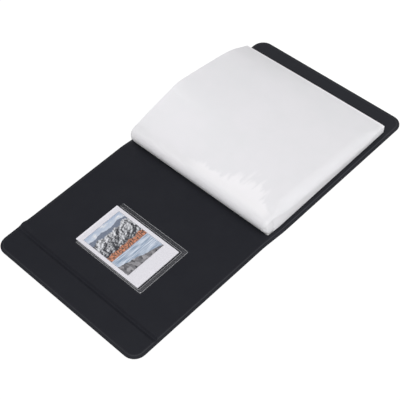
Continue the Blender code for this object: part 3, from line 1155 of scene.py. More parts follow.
@dataclass
class Cover:
    """Cover of the album: lining, padded outer skin and the foam between them."""

    lines: HingeLines
    corner_radius: float = 13.0 * MM
    rim_width: float = 2.2 * MM
    rim_step: float = 0.9 * MM
    shoulder: float = 1.0 * MM
    lining_thickness: float = 0.6 * MM
    skin_thickness: float = 0.7 * MM
    weld_line: float = 0.05 * MM
    rim_drop: float = 2.5 * MM
    board_stack: float = 3.0 * MM
    padding_round: float = 9.0 * MM
    board_round: float = 2.0 * MM
    bend_reach: float = 5.0 * MM
    groove_reach: float = 3.4 * MM
    groove_depth: float = 1.6 * MM
    groove_end: float = 11.0 * MM
    arch_height: float = 1.6 * MM
    arch_reach: float = 6.2 * MM
    arch_from_crease: float = 6.5 * MM
    wave_height: float = 0.12 * MM
    ripple: Ripple = Ripple(
        per_x=61.0, per_y=47.0, shift_x=0.8, shift_y=0.3, slant_x=23.0, slant_y=31.0, slant_share=0.6
    )
    edge_round: float = 0.25 * MM
    seam_from_front_hinge: float = 26.0 * MM
    patch: float = 16.0 * MM
    least_patch: float = 0.15 * MM
    bend_steps: int = 8
    skin_steps: int = 8
    rim_margin: float = 0.05 * MM
    foam_loops: Span = (0.5 * MM, 6.0 * MM)
    # Wear on the rim's shoulder that is also a painted highlight where the shoulder meets the light; plain
    # wear at the outer edge.
    edge_wear_and_highlight: float = 0.7
    edge_share: float = 0.35
    outer_wear: float = 0.2
    outer_reach: float = 0.5 * MM
    # Painted light: the lining is made paler beside the roll and towards the back cover's fore-edge, lifting
    # the shade there.
    painted_lift: float = 0.12
    painted_lift_reach: float = 12.0 * MM
    painted_lift_from_front_hinge: float = -4.0 * MM
    painted_lift_from_back_edge: float = -40.0 * MM

    def __post_init__(self) -> None:
        """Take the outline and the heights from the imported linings."""
        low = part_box("flap_lining")[0]
        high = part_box("back_lining")[1]
        self.plan = Plan(low.x, high.x, low.y, high.y, self.corner_radius)
        self.front_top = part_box("front_lining")[1].z
        self.back_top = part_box("back_lining")[1].z

    def bend(self, x: Field, centre: float) -> Field:
        """Smooth ramp that starts at a hinge line and climbs one for one after it.

        Args:
            x: places along X.
            centre: the hinge line.

        Returns:
            The height of the ramp.
        """
        reach = 2 * self.bend_reach
        share = (x - centre) / reach + 0.5
        inside = np.clip(share, 0.0, 1.0)
        return reach * (inside**3 - inside**4 / 2 + np.maximum(share - 1.0, 0.0))

    def far_end(self, y: Field) -> Field:
        """Share that falls from 1 to 0 over the last stretch before the far edge."""
        return smooth((self.plan.y_high - y) / self.groove_end)

    def level(self, x: Field, y: Field) -> Field:
        """Height of the lining: high on the front, a slope at the spine, low on the back.

        Args:
            x: places along X.
            y: places along Y.

        Returns:
            The heights, with a small arch where the fold meets the far edge.
        """
        slope = (self.front_top - self.back_top) / (self.lines.back.x - self.lines.front.x)
        fall = slope * (self.bend(x, self.lines.front.x) - self.bend(x, self.lines.back.x))
        off_arch = np.abs(x - self.lines.crease.x - self.arch_from_crease) / self.arch_reach
        arch = self.arch_height * (1.0 - smooth(off_arch)) * (1.0 - self.far_end(y))
        return self.front_top - fall + arch

    def lining_over(self, x: Field, y: Field) -> Field:
        """Upper face of the lining, with its lower rim, the fold groove and slow waves.

        Args:
            x: places along X.
            y: places along Y.

        Returns:
            The heights.
        """
        raised = smooth((self.plan.depth(x, y) - self.rim_width) / self.shoulder)
        across = 1.0 - smooth(np.abs(x - self.lines.crease.x) / self.groove_reach)
        groove = self.groove_depth * across * self.far_end(y)
        wave = self.wave_height * self.ripple.height(x, y)
        return self.level(x, y) - self.rim_step + raised * (self.rim_step - groove + wave)

    def lining_under(self, x: Field, y: Field) -> Field:
        """Under face of the lining."""
        return self.lining_over(x, y) - self.lining_thickness

    def padding_share(self, x: Field, depth: Field) -> Field:
        """How far the outer skin has dropped from its rim to its belly.

        Args:
            x: places along X.
            depth: distance from the cover's outline.

        Returns:
            0 at the rim and along hinge lines, 1 on the belly.
        """
        crease, front, back = self.lines.crease.x, self.lines.front.x, self.lines.back.x
        to_line = np.min([np.abs(x - crease), np.abs(x - front), np.abs(x - back)], axis=0)
        rounding = np.where(x < front, self.padding_round, self.board_round)
        from_rim = quarter_arc((depth - self.rim_width) / rounding)
        return from_rim * quarter_arc((to_line - self.rim_width) / rounding)

    def skin_height(self, x: Field, y: Field, depth: Field) -> Field:
        """Height of the outer skin's outer face.

        Args:
            x: places along X.
            y: places along Y.
            depth: distance from the cover's outline.

        Returns:
            The heights.
        """
        rim = self.level(x, y) - self.rim_drop
        belly = np.where(x < self.lines.front.x, 0.0, self.level(x, y) - self.board_stack)
        return rim - (rim - belly) * self.padding_share(x, depth)

    def skin_under(self, x: Field, y: Field) -> Field:
        """Outer face of the skin, which lies on the table."""
        return self.skin_height(x, y, self.plan.depth(x, y))

    def skin_over(self, x: Field, y: Field) -> Field:
        """Inner face of the skin, which meets the lining along the rim.

        Args:
            x: places along X.
            y: places along Y.

        Returns:
            The heights.
        """
        depth = self.plan.depth(x, y)
        rim = self.level(x, y) - self.rim_step - self.lining_thickness - self.weld_line
        inner = self.skin_height(x, y, depth - self.skin_thickness) + self.skin_thickness
        on_rim = depth < self.rim_width + self.skin_thickness
        return np.where(on_rim, rim, np.minimum(inner, rim))

    def stations(self) -> list[float]:
        """Places along X where the sheets need points: round the hinge lines and at even steps.

        Returns:
            The places, in order and apart from each other.
        """
        crease, front, back = self.lines.crease.x, self.lines.front.x, self.lines.back.x
        patches = int((self.plan.x_high - self.plan.x_low) / self.patch)
        places = [self.plan.x_low + self.patch * step for step in range(1, patches)]
        steps = range(-self.bend_steps, self.bend_steps + 1)
        for line in (crease, front, back):
            places += [line + self.bend_reach * step / self.bend_steps for step in steps]
        for line, sides, rounding in (
            (crease, (-1, 1), self.padding_round),
            (front, (-1,), self.padding_round),
            (front, (1,), self.board_round),
            (back, (-1, 1), self.board_round),
        ):
            for side in sides:
                for share in quarter_steps(ROUND_STEPS):
                    places.append(line + side * (self.rim_width + rounding * share))
        kept = []
        for place in sorted(places):
            if not kept or place - kept[-1] > self.least_patch:
                kept.append(place)
        return kept

    def spans(self) -> tuple[tuple[str, float, float, tuple[str, str], Vector], ...]:
        """Stretches of the cover that each cross one hinge line.

        Returns:
            Name, ends along X, the two bodies and the hinge line of each stretch.
        """
        first = self.lines.front.x - self.seam_from_front_hinge
        second = (self.lines.front.x + self.lines.back.x) / 2
        return (
            ("fore", self.plan.x_low - MM, first, ("flap", "front"), self.lines.crease),
            ("hinge", first, second, ("front", "spine"), self.lines.front),
            ("back", second, self.plan.x_high + MM, ("spine", "back"), self.lines.back),
        )

    def wear_and_light(self, x: Field, y: Field) -> Field:
        """How far the leatherette is made paler, by wear and by painted light.

        Args:
            x: places along X.
            y: places along Y.

        Returns:
            0 for plain to 1 for palest.
        """
        depth = self.plan.depth(x, y)
        off_edge = (depth - self.rim_width - self.shoulder / 2) / (self.edge_share * self.shoulder)
        # The rim's shoulder: wear with a painted highlight; the outer edge: wear.
        worn_and_lit = self.edge_wear_and_highlight * np.exp(-(off_edge**2))
        worn_and_lit += self.outer_wear * np.exp(-((depth / self.outer_reach) ** 2))
        # Painted light lifting the lining's shade, from beside the roll onward and again near the back
        # cover's fore-edge.
        roll_side = self.lines.front.x + self.painted_lift_from_front_hinge
        fore_side = self.plan.x_high + self.painted_lift_from_back_edge
        for start in (roll_side, fore_side):
            worn_and_lit += self.painted_lift * smooth((x - start) / self.painted_lift_reach)
        return np.clip(worn_and_lit, 0.0, 1.0)

    def make_layer(
        self,
        layer: str,
        loops: tuple[Sequence[float], Sequence[float]],
        faces: tuple[Surface, Surface],
        finish: bpy.types.Material,
    ) -> dict[str, bpy.types.Object]:
        """Make one layer of the cover as three stretches, each across one hinge line.

        Args:
            layer: name of the layer.
            loops: insets of the loops on the upper and the under side.
            faces: heights of the upper and the under side.
            finish: material of the layer.

        Returns:
            The three pieces by the name of their stretch.
        """
        whole = self.plan.sheet(*loops)
        for place in self.stations():
            slice_shape(whole, 0, place)
        rows = int((self.plan.y_high - self.plan.y_low) / self.patch)
        for row in range(1, rows + 1):
            slice_shape(whole, 1, self.plan.y_low + self.patch * row)
        pieces = {}
        for name, start, end, bodies, line in self.spans():
            shape = whole.copy()
            slice_shape(shape, 0, start, -1)
            slice_shape(shape, 0, end, 1)
            mesh = shape_mesh(shape, f"{layer}_{name}")
            points = mesh_points(mesh)
            x, y, share = points.T
            under = faces[1](x, y)
            over = np.maximum(faces[0](x, y), under + self.edge_round)
            points[:, 2] = under + share * (over - under)
            mesh.vertices.foreach_set("co", points.ravel())
            # Wear and painted light are stored on the points.
            mark_points(mesh, "wear_and_light", self.wear_and_light(x, y))
            piece = add_object(f"{layer}_{name}", mesh, finish)
            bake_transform(piece)
            pieces[name] = piece
            LOG.info("%s: %d faces, bends between %s and %s", piece.name, len(mesh.polygons), *bodies)
        whole.free()
        return pieces

    def build_lining(self, finish: bpy.types.Material) -> None:
        """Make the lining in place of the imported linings.

        Args:
            finish: material of the lining.
        """
        rim, inner = self.rim_width, self.rim_width + 2 * self.shoulder
        slope = [rim + self.shoulder * step / ROUND_STEPS for step in range(1, ROUND_STEPS + 1)]
        loops = ([self.edge_round, rim, *slope, inner], (self.edge_round, inner))
        pieces = self.make_layer("lining", loops, (self.lining_over, self.lining_under), finish)
        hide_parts("flap_lining")
        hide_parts("front_lining")
        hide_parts("spine_lining", "back_lining")

    def build_skin(self, finish: bpy.types.Material) -> None:
        """Make the outer skin, padded on the front cover and the flap.

        Args:
            finish: material of the skin.
        """
        curve = quarter_steps(self.skin_steps)
        insets = [self.rim_width + self.padding_round * share for share in curve]
        insets += [self.rim_width + self.board_round * share for share in curve[2:]]
        under = [self.edge_round] + sorted(insets)
        over = [self.edge_round, self.rim_width + self.skin_thickness - self.rim_margin]
        over += [inset + self.skin_thickness for inset in sorted(insets)[1:]]
        pieces = self.make_layer("skin", (over, under), (self.skin_over, self.skin_under), finish)
        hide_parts("flap_skin")
        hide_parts("front_skin")
        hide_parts("spine_skin", "back_skin")

    def build_padding(self, finish: bpy.types.Material) -> None:
        """Make the foam inside the front cover and the flap.

        Args:
            finish: material of the foam.
        """
        for body in ("front", "flap"):
            low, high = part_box(f"{body}_foam")
            plan = Plan(low.x, high.x, low.y, high.y, self.plan.radius - (low.y - self.plan.y_low))
            rounds = [self.padding_round * share for share in quarter_steps(ROUND_STEPS)[1:]]
            shape = plan.sheet(self.foam_loops, rounds)
            for place in self.stations():
                if low.x + MM < place < high.x - MM:
                    slice_shape(shape, 0, place)
            mesh = shape_mesh(shape, f"{body}_padding")
            points = mesh_points(mesh)
            x, y, share = points.T
            rounding = 1.0 - quarter_arc(plan.depth(x, y) / self.padding_round)
            under = low.z + (high.z - low.z) * rounding
            points[:, 2] = under + share * (high.z - under)
            mesh.vertices.foreach_set("co", points.ravel())
            piece = add_object(f"{body}_padding", mesh, finish)
            settle(piece, Slot.PADDING_FOAM, body)
            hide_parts(f"{body}_foam")


@dataclass
class PrintPocket:
    """Clear film welded to the front lining round a print, with its beads, pressed marks and a painted glint
    at one corner.
    """

    thickness: float = 0.25 * MM
    lip: float = 0.3
    rest: float = 0.08 * MM
    ramp: float = 1.8 * MM
    wave: float = 0.16 * MM
    ripple: Ripple = Ripple(
        per_x=190.0, per_y=120.0, shift_x=1.0, shift_y=0.0, slant_x=75.0, slant_y=160.0, slant_share=0.5
    )
    weld_start: float = 0.6 * MM
    weld_reach: float = 1.0 * MM
    bottom_reach: float = 2.0 * MM
    side_weld: float = 0.02
    bottom_weld: float = 0.10
    # The beads are paler and more opaque than the film: welds whose paleness is partly a painted highlight
    # along the film's edges.
    bead_weld_and_highlight: float = 0.7
    mark_weld: float = 0.10
    # The pale blob at the near corner is a painted glint; a share above 1 makes it fully opaque.
    glint_share: float = 1.6
    outer_bead_inset: float = 0.7 * MM
    inner_bead_gap: float = 1.9 * MM
    crease_side_gap: float = 0.95 * MM
    bead_width: float = 0.55 * MM
    bead_height: float = 0.30 * MM
    bead_step: float = 0.8 * MM
    mark_inset: float = 1.6 * MM
    mark_pitch: float = 1.1 * MM
    mark_length: float = 1.7 * MM
    mark_width: float = 0.45 * MM
    mark_height: float = 0.14 * MM
    # Place and size of the painted glint on the film's near corner.
    glint_inset: float = 1.3 * MM
    glint_slant: Point = (0.6 * MM, -0.3 * MM, 0.0)
    glint_width: float = 1.1 * MM
    glint_height: float = 0.6 * MM
    glint_step: float = 0.3 * MM
    corner: float = 1.6 * MM
    corner_steps: int = 8
    mouth_inset: float = 0.4 * MM
    mouth_step: float = 2.0 * MM
    side_points: int = 24
    bottom_points: int = 18
    columns: int = 66
    rows: int = 92

    def __post_init__(self) -> None:
        """Take the film's and the print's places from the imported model."""
        self.low, self.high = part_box("pocket_film")
        self.print_low, self.print_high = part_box("print_card")
        self.weld_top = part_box("front_lining")[1].z + self.rest + self.thickness

    def beside(self, x: Field, y: Field) -> Field:
        """Distance outward from the print, on its three welded sides."""
        return np.max([self.print_low.x - x, x - self.print_high.x, self.print_low.y - y], axis=0)

    def film_top(self, x: Field, y: Field) -> Field:
        """Upper face of the film: flat on its welds and raised over the print.

        Args:
            x: places along X.
            y: places along Y.

        Returns:
            The heights.
        """
        raised = 1.0 - smooth(self.beside(x, y) / self.ramp)
        over = self.high.z - self.wave * (1.0 + self.ripple.slant_share)
        return self.weld_top + raised * (over - self.weld_top + self.wave * self.ripple.height(x, y))

    def path(self, x_low: float, x_high: float, y_low: float) -> Field:
        """Run round three sides of the pocket, open at its mouth.

        Args:
            x_low: line along the crease side.
            x_high: line along the spine side.
            y_low: line along the bottom.

        Returns:
            Rows of X, Y and Z on the film.
        """
        corner = self.corner
        mouth = self.high.y - self.mouth_inset
        upright = np.linspace(self.high.y - self.mouth_step, y_low + corner, self.side_points)
        run = [(x_low, mouth)] + [(x_low, y) for y in upright]
        for centre_x, start in ((x_low + corner, math.pi), (x_high - corner, 1.5 * math.pi)):
            for step in range(1, self.corner_steps):
                angle = start + math.pi / 2 * step / self.corner_steps
                run.append((centre_x + corner * math.cos(angle), y_low + corner + corner * math.sin(angle)))
            if start == math.pi:
                bottom = np.linspace(x_low + corner, x_high - corner, self.bottom_points)
                run += [(x, y_low) for x in bottom]
        run += [(x_high, y) for y in upright[::-1]] + [(x_high, mouth)]
        x, y = np.array(run).T
        return np.column_stack((x, y, self.film_top(x, y)))

    def build(self, finish: bpy.types.Material, weld_finish: bpy.types.Material) -> None:
        """Make the film, its two beads, the pressed marks between them and a pale blob that is a painted
        glint.

        Args:
            finish: clear film.
            weld_finish: film where it is melted to the lining, which also makes the painted glint.
        """
        x = np.linspace(self.low.x, self.high.x, self.columns + 1)
        y = np.linspace(self.low.y, self.high.y, self.rows + 1)
        grid_x, grid_y = np.meshgrid(x, y)
        top = np.dstack((grid_x, grid_y, self.film_top(grid_x, grid_y)))
        below = top - np.array((0.0, 0.0, self.thickness))
        mesh = closed_sheet("pocket_sheet", top, below, self.lip)
        x, y, _ = mesh_points(mesh).T
        bottom = smooth((self.print_low.y - y) / self.bottom_reach)
        welded = smooth((self.beside(x, y) - self.weld_start) / self.weld_reach)
        mark_points(mesh, "weld_and_glint", (self.side_weld + self.bottom_weld * bottom) * welded)
        sheet = add_object("pocket_sheet", mesh, finish)
        inset, gap = self.outer_bead_inset, self.inner_bead_gap
        outer = (self.low.x + inset, self.high.x - inset, self.low.y + inset)
        inner = (self.print_low.x - self.crease_side_gap, self.print_high.x + gap, self.print_low.y - gap)
        middle = (self.low.x + self.mark_inset, (inner[1] + outer[1]) / 2, (inner[2] + outer[2]) / 2)
        bead = bead_tree()
        paths = polyline("pocket_bead_paths", (self.path(*outer), self.path(*inner)))
        sizes = {"Width": self.bead_width, "Height": self.bead_height, "Step": self.bead_step}
        beads = bead.run("pocket_beads", paths, sizes, weld_finish)
        paths = polyline("pocket_mark_path", (self.path(*middle),))
        sizes = {"Pitch": self.mark_pitch, "Length": self.mark_length}
        sizes |= {"Width": self.mark_width, "Height": self.mark_height}
        marks = knurl_tree().run("pocket_marks", paths, sizes, weld_finish)
        # Painted glint: a pale opaque blob on the film's near corner.
        corner = np.array((self.low.x + self.glint_inset, self.low.y + self.glint_inset, self.weld_top))
        blob = np.array([corner + step * np.array(self.glint_slant) for step in (-1, 0, 1)])
        sizes = {"Width": self.glint_width, "Height": self.glint_height, "Step": self.glint_step}
        drop = bead.run("pocket_painted_glint", polyline("pocket_glint_path", (blob,)), sizes, weld_finish)
        for piece, share in ((beads, self.bead_weld_and_highlight), (marks, self.mark_weld), (drop, self.glint_share)):
            mark_points(piece.data, "weld_and_glint", np.full(len(piece.data.vertices), share))
        for piece in (sheet, beads, marks, drop):
            settle(piece, Slot.CLEAR_FILM, "front")
        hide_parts("pocket_film")


@dataclass
class LeafBlock:
    """Bound block of frosted leaves with the film that is rolled round its binding edge."""

    lines: HingeLines
    count: int = 12
    near_rise: float = 10.2 * MM
    far_rise: float = 11.0 * MM
    bow_height: float = 18.2 * MM
    bow_fade: float = 1.7
    pull_in: float = 1.8 * MM
    bulge: float = -1.0 * MM
    droop: float = 9.0 * MM
    droop_reach: float = 12.0 * MM
    row_bias: float = 1.3
    pleat_height: float = 0.4 * MM
    fill: float = 0.93
    thickest: float = 1.75 * MM
    lip: float = 0.2
    stub_reach: float = 0.5 * MM
    bend_width: float = 7.0 * MM
    bend_growth: float = 0.8 * MM
    bend_rounds: int = 12
    bend_back: int = 6
    bend_onward: int = 8
    pocket_columns: int = 3
    pocket_rows: int = 2
    weld_width: float = 1.1 * MM
    weld_height: float = 0.16 * MM
    weld_inset: float = 0.03
    weld_step: float = 2.5 * MM
    wrap_thickness: float = 0.6 * MM
    wrap_steps: int = 40
    straight_shares: Span = (0.33, 0.67)
    # Columns of the roll over which the whitening and painted highlight fade in.
    whitening_highlight_steps: int = 9
    end_round: float = 3.0 * MM
    end_inset: float = 1.6 * MM
    end_pinch: float = 0.4 * MM
    end_drop: float = 2.2 * MM
    end_reach: float = 4.0 * MM
    inset_eased_below: float = 0.5
    pinch_eased_below: float = 0.85
    end_cover: float = 1.2 * MM
    closing_gap: float = 0.5 * MM
    core_round: float = 4.0 * MM
    top_grid: tuple[int, int] = (145, 121)
    leaf_grid: tuple[int, int] = (121, 61)

    # Where the film that closes the roll's ends has points, from the roll's outline inward.
    END_SHARES = (0.0, 0.03, 0.08, 0.15, 0.24, 0.36, 0.5, 0.7, 0.85, 1.0)

    # Height of the bow over the leaf's width, with the kink of the far end.
    BOW = (
        (0.0, 0.0), (0.1, 0.30), (0.2, 0.565), (0.3, 0.80), (0.37, 0.95), (0.42, 0.945), (0.5, 0.895),
        (0.66, 0.78), (0.78, 0.67), (0.86, 0.52), (0.92, 0.315), (0.97, 0.13), (1.0, 0.02),
    )

    # Height of the bow over the leaf's width, without the kink.
    SOFT_BOW = (
        (0.0, 0.0), (0.1, 0.27), (0.2, 0.52), (0.3, 0.715), (0.4, 0.82), (0.5, 0.835), (0.6, 0.79),
        (0.7, 0.71), (0.8, 0.58), (0.9, 0.36), (1.0, 0.02),
    )

    def __post_init__(self) -> None:
        """Take the leaves' outline and the cover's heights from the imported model."""
        self.low, self.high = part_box("leaf_01")
        self.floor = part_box("back_lining")[1].z
        drop = self.lines.front.z - self.lines.back.z
        self.slope = drop / (self.lines.back.x - self.lines.front.x)

    def leaf_sizes(self, number: int) -> dict[str, float | int]:
        """Values for the tree that bends one leaf.

        Args:
            number: number of the leaf, from 1 at the top.

        Returns:
            The values by the names of the tree's inputs.
        """
        top = number == 1
        left = self.low.x if top else self.low.x - self.stub_reach
        columns, rows = self.top_grid if top else self.leaf_grid
        return {
            "Left": left,
            "Width": self.high.x - left,
            "Height": self.high.y - self.low.y,
            "Floor": self.floor,
            "Back hinge": self.lines.back.x,
            "Spine slope": self.slope,
            "Hinge height": self.lines.leaf.z,
            "Near rise": self.near_rise,
            "Far rise": self.far_rise,
            "Bow height": self.bow_height,
            "Bow fade": self.bow_fade,
            "Pull in": self.pull_in,
            "Middle": (self.low.y + self.high.y) / 2,
            "Share": 1.0 - (number - 1) / self.count,
            "Bulge": self.bulge,
            "Droop": self.droop,
            "Droop reach": self.droop_reach / (self.high.y - self.low.y),
            "Row bias": self.row_bias if top else 1.0,
            "Pleat height": self.pleat_height if top else 0.0,
            "Columns": columns,
            "Rows": rows,
        }

    def build_leaves(self, finish: bpy.types.Material, weld_finish: bpy.types.Material) -> None:
        """Make every leaf and, under the plain top sheet, the welds of its pockets.

        Args:
            finish: frosted film.
            weld_finish: film where two sheets are melted together.
        """
        tree = bowed_leaf_tree(LeafSpans())
        beads = bead_tree()
        for number in range(1, self.count + 1):
            name = f"leaf_{number:02d}"
            sizes = self.leaf_sizes(number)
            flat = tree.run(f"{name}_face", bpy.data.meshes.new(f"{name}_start"), sizes, finish)
            shape = (sizes["Columns"], sizes["Rows"])
            grid = mesh_points(flat.data).reshape(*shape, 3).transpose(1, 0, 2)
            # The tree's mark of crease whitening and painted highlight, read back for the top sheet.
            whitening_and_highlight = point_marks(flat.data, "whitening_and_highlight").reshape(shape).T
            bpy.data.objects.remove(flat, do_unlink=True)
            under = self.floor + np.maximum(self.lines.back.x - grid[:, :, 0], 0.0) * self.slope
            spacing = (grid[:, :, 2] - under) / sizes["Share"] / self.count
            thickness = np.minimum(self.fill * spacing, self.thickest)
            if number == 1:
                self.build_top_sheet(grid, thickness, whitening_and_highlight, finish)
                continue
            below = grid - thickness[:, :, None] * (0.0, 0.0, 1.0)
            leaf = add_object(f"{name}_sheet", closed_sheet(f"{name}_sheet", grid, below, self.lip), finish)
            self.bind(leaf)
            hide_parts(name)
            settle(leaf, Slot.FROSTED_FILM)
            self.build_welds(number, grid, beads, weld_finish)

    def bind(self, piece: bpy.types.Object) -> None:
        """Bake the placement of a piece of a leaf into its mesh.

        Args:
            piece: sheet or welds of the leaf.
        """
        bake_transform(piece)

    def build_welds(self, number: int, grid: Field, beads: ShapeTree, finish: bpy.types.Material) -> None:
        """Lay the welds between a leaf's pockets on its upper face.

        Args:
            number: number of the leaf, from 1 at the top.
            grid: points of its upper face.
            beads: tree that lays a bead along a path.
            finish: material of the welds.
        """
        name = f"leaf_{number:02d}"
        rows, columns = grid.shape[0] - 1, grid.shape[1] - 1
        edge = max(1, round(self.weld_inset * columns))
        runs = []
        for step in range(self.pocket_columns + 1):
            column = round(edge + (columns - 2 * edge) * step / self.pocket_columns)
            runs.append(grid[edge:-edge, column])
        for step in range(self.pocket_rows + 1):
            row = round(edge + (rows - 2 * edge) * step / self.pocket_rows)
            runs.append(grid[row, edge:-edge])
        sizes = {"Width": self.weld_width, "Height": self.weld_height, "Step": self.weld_step}
        welds = beads.run(f"{name}_welds", polyline(f"{name}_weld_paths", runs), sizes, finish)
        self.bind(welds)
        settle(welds, Slot.FROSTED_FILM)

    def arc(self, radius: float, start: float, end: float) -> list[Span]:
        """Points on a circle round the roll's axis.

        Args:
            radius: radius of the circle.
            start: angle of the first point.
            end: angle of the last point.

        Returns:
            X and Z of each point.
        """
        axis = self.lines.roll
        angles = np.linspace(start, end, self.wrap_steps + 1)
        return [(axis.x + radius * math.cos(angle), axis.z + radius * math.sin(angle)) for angle in angles]

    def wrap_profile(self) -> Field:
        """Section of the film round the binding, from its bottom lip to where the leaf starts.

        Returns:
            Rows of X and Z.
        """
        axis = self.lines.roll
        low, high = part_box("binding_roll")
        radius = axis.x - low.x
        to_leaf = Vector((self.low.x - axis.x, self.lines.leaf.z - axis.z))
        leave = math.atan2(to_leaf.y, to_leaf.x) + math.acos(radius / to_leaf.length)
        points = [(high.x, axis.z - radius), *self.arc(radius, 1.5 * math.pi, leave)]
        touch = Vector(points[-1])
        start = Vector((self.low.x, self.lines.leaf.z))
        points += [tuple(touch.lerp(start, share)) for share in self.straight_shares]
        return np.array(points)

    def build_core(self, finish: bpy.types.Material) -> None:
        """Make the core of welded stubs with soft, melted ends.

        Args:
            finish: material of the stubs.
        """
        axis = self.lines.roll
        low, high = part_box("binding_core")
        radius = axis.x - low.x
        start, end = low.y + self.end_cover, high.y - self.end_cover
        half_round = self.arc(radius, 0.5 * math.pi, 1.5 * math.pi)
        outline = np.array([(high.x, axis.z + radius), *half_round, (high.x, axis.z - radius)])
        centre = np.array(((low.x + high.x) / 2, axis.z))
        shares = quarter_steps(ROUND_STEPS)
        insets = [
            (start + self.core_round * away, self.core_round * inset)
            for away, inset in zip(reversed(shares), shares)
        ]
        insets = sorted(insets + [(start + end - y, inset) for y, inset in insets])
        rings = []
        for y, inset in insets:
            drawn = centre + (outline - centre) * (1.0 - inset / radius)
            rings.append([(x, y, z) for x, z in drawn])
        piece = add_object("binding_stubs", shape_mesh(loft(rings), "binding_stubs"), finish)
        settle(piece, Slot.FROSTED_FILM, "binding")
        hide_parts("binding_core")

    def build_roll_ends(self, sheet: Field, joint: int, finish: bpy.types.Material) -> None:
        """Close both ends of the rolled film, where it is folded in and melted flat.

        Args:
            sheet: points of the top leaf and of the film round the binding.
            joint: number of columns that lie on the roll.
            finish: frosted film.
        """
        shares = np.array(self.END_SHARES)
        for name, row, end, out in (("near", 0, self.low.y, -1), ("far", -1, self.high.y, 1)):
            outline = sheet[row, :joint]
            closing = outline.copy()
            closing[:, 0] = self.low.x - 0.5 * self.stub_reach
            lowest, highest = outline[0, 2] + self.closing_gap, outline[-1, 2] - self.closing_gap
            closing[:, 2] = np.linspace(lowest, highest, joint)
            across = closing - outline
            over = outline[:, None] + shares[:, None] * across[:, None]
            inside = shares * np.linalg.norm(across, axis=1)[:, None]
            over[:, :, 1] += (end - over[:, :, 1]) * quarter_arc(inside / self.end_round)
            under = over.copy()
            under[:, :, 1] = outline[:, 1:2] - out * self.wrap_thickness
            mesh = closed_sheet(f"roll_end_{name}", over[::-out], under[::-out], 0.0)
            # The roll's ends carry no whitening and no painted highlight.
            mark_points(mesh, "whitening_and_highlight", np.zeros(len(mesh.vertices)))
            piece = add_object(f"roll_end_{name}", mesh, finish)
            settle(piece, Slot.FROSTED_FILM, "binding")

    def build_top_sheet(
        self, grid: Field, thickness: Field, whitening_and_highlight: Field, finish: bpy.types.Material
    ) -> None:
        """Make the top leaf and the film that runs from it round the binding, as one sheet.

        Args:
            grid: points of the top leaf's upper face.
            thickness: depth of the leaf under each point.
            whitening_and_highlight: how far the film is paler at each point, from crease whitening and a
                painted highlight.
            finish: frosted film.
        """
        profile = self.wrap_profile()
        rows = grid.shape[0]
        wrap = np.empty((rows, len(profile), 3))
        wrap[:, :, 0] = profile[:, 0]
        # The film's ends are drawn in on the roll, and its top follows the leaf's first column.
        middle = (self.low.y + self.high.y) / 2
        height = self.lines.leaf.z - self.lines.roll.z
        upper = smooth((profile[:, 1] - self.lines.roll.z) / height)
        lower = smooth((self.lines.roll.z - profile[:, 1]) / height)
        inset_share = 2 * self.end_inset / (self.high.y - self.low.y)
        drawn_in = 1.0 - inset_share * (1.0 - upper) * (1.0 - self.inset_eased_below * lower)
        wrap[:, :, 1] = middle + (grid[:, :1, 1] - middle) * drawn_in
        wrap[:, :, 2] = profile[:, 1] + (grid[:, :1, 2] - self.lines.leaf.z) * upper
        sheet = np.concatenate((wrap, grid), axis=1)
        joint = len(profile)
        # Rounds of averaging turn the line where roll and leaf meet into a soft bend.
        first, last = joint - self.bend_back, joint + self.bend_onward
        for _ in range(self.bend_rounds):
            beside = (sheet[:, first - 1:last - 1] + sheet[:, first + 1:last + 1]) / 2
            sheet[:, first:last] = (sheet[:, first:last] + beside) / 2
        # Over the bend the sheet grows from the film's thickness to the leaf's.
        depth = np.full(sheet.shape[:2], self.wrap_thickness)
        onward = smooth((grid[:, :, 0] - self.low.x) / self.bend_width)
        depth[:, joint:] += (thickness - self.wrap_thickness) * onward
        along = np.gradient(sheet, axis=1)
        length = np.hypot(along[:, :, 0], along[:, :, 2])
        inward = np.dstack((along[:, :, 2], np.zeros(length.shape), -along[:, :, 0])) / length[:, :, None]
        # The near end of the roll is pinched inward, and the far end a little.
        pinch = self.end_drop * (1.0 - quarter_arc((grid[:, 0, 1] - self.low.y) / self.end_reach))
        pinch[-1] = self.end_pinch
        pinch = pinch[:, None] * (1.0 - upper) * (1.0 - self.pinch_eased_below * lower)
        sheet[:, :joint] += inward[:, :joint] * pinch[:, :, None]
        self.build_roll_ends(sheet, joint, finish)
        below = sheet + inward * depth[:, :, None]
        mesh = closed_sheet("top_sheet", sheet, below, self.lip)
        # The whitening and painted highlight of the leaf's first column fade in over the roll's last
        # columns.
        onto_roll = smooth((np.arange(joint) - joint + self.whitening_highlight_steps) / self.whitening_highlight_steps)
        marks = np.concatenate((whitening_and_highlight[:, :1] * onto_roll, whitening_and_highlight), axis=1).ravel()
        mark_points(mesh, "whitening_and_highlight", np.concatenate((marks, np.zeros(len(mesh.vertices) - len(marks)))))
        piece = add_object("top_sheet", mesh, finish)
        self.bind(piece)
        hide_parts("leaf_01", "binding_roll")
        settle(piece, Slot.FROSTED_FILM)


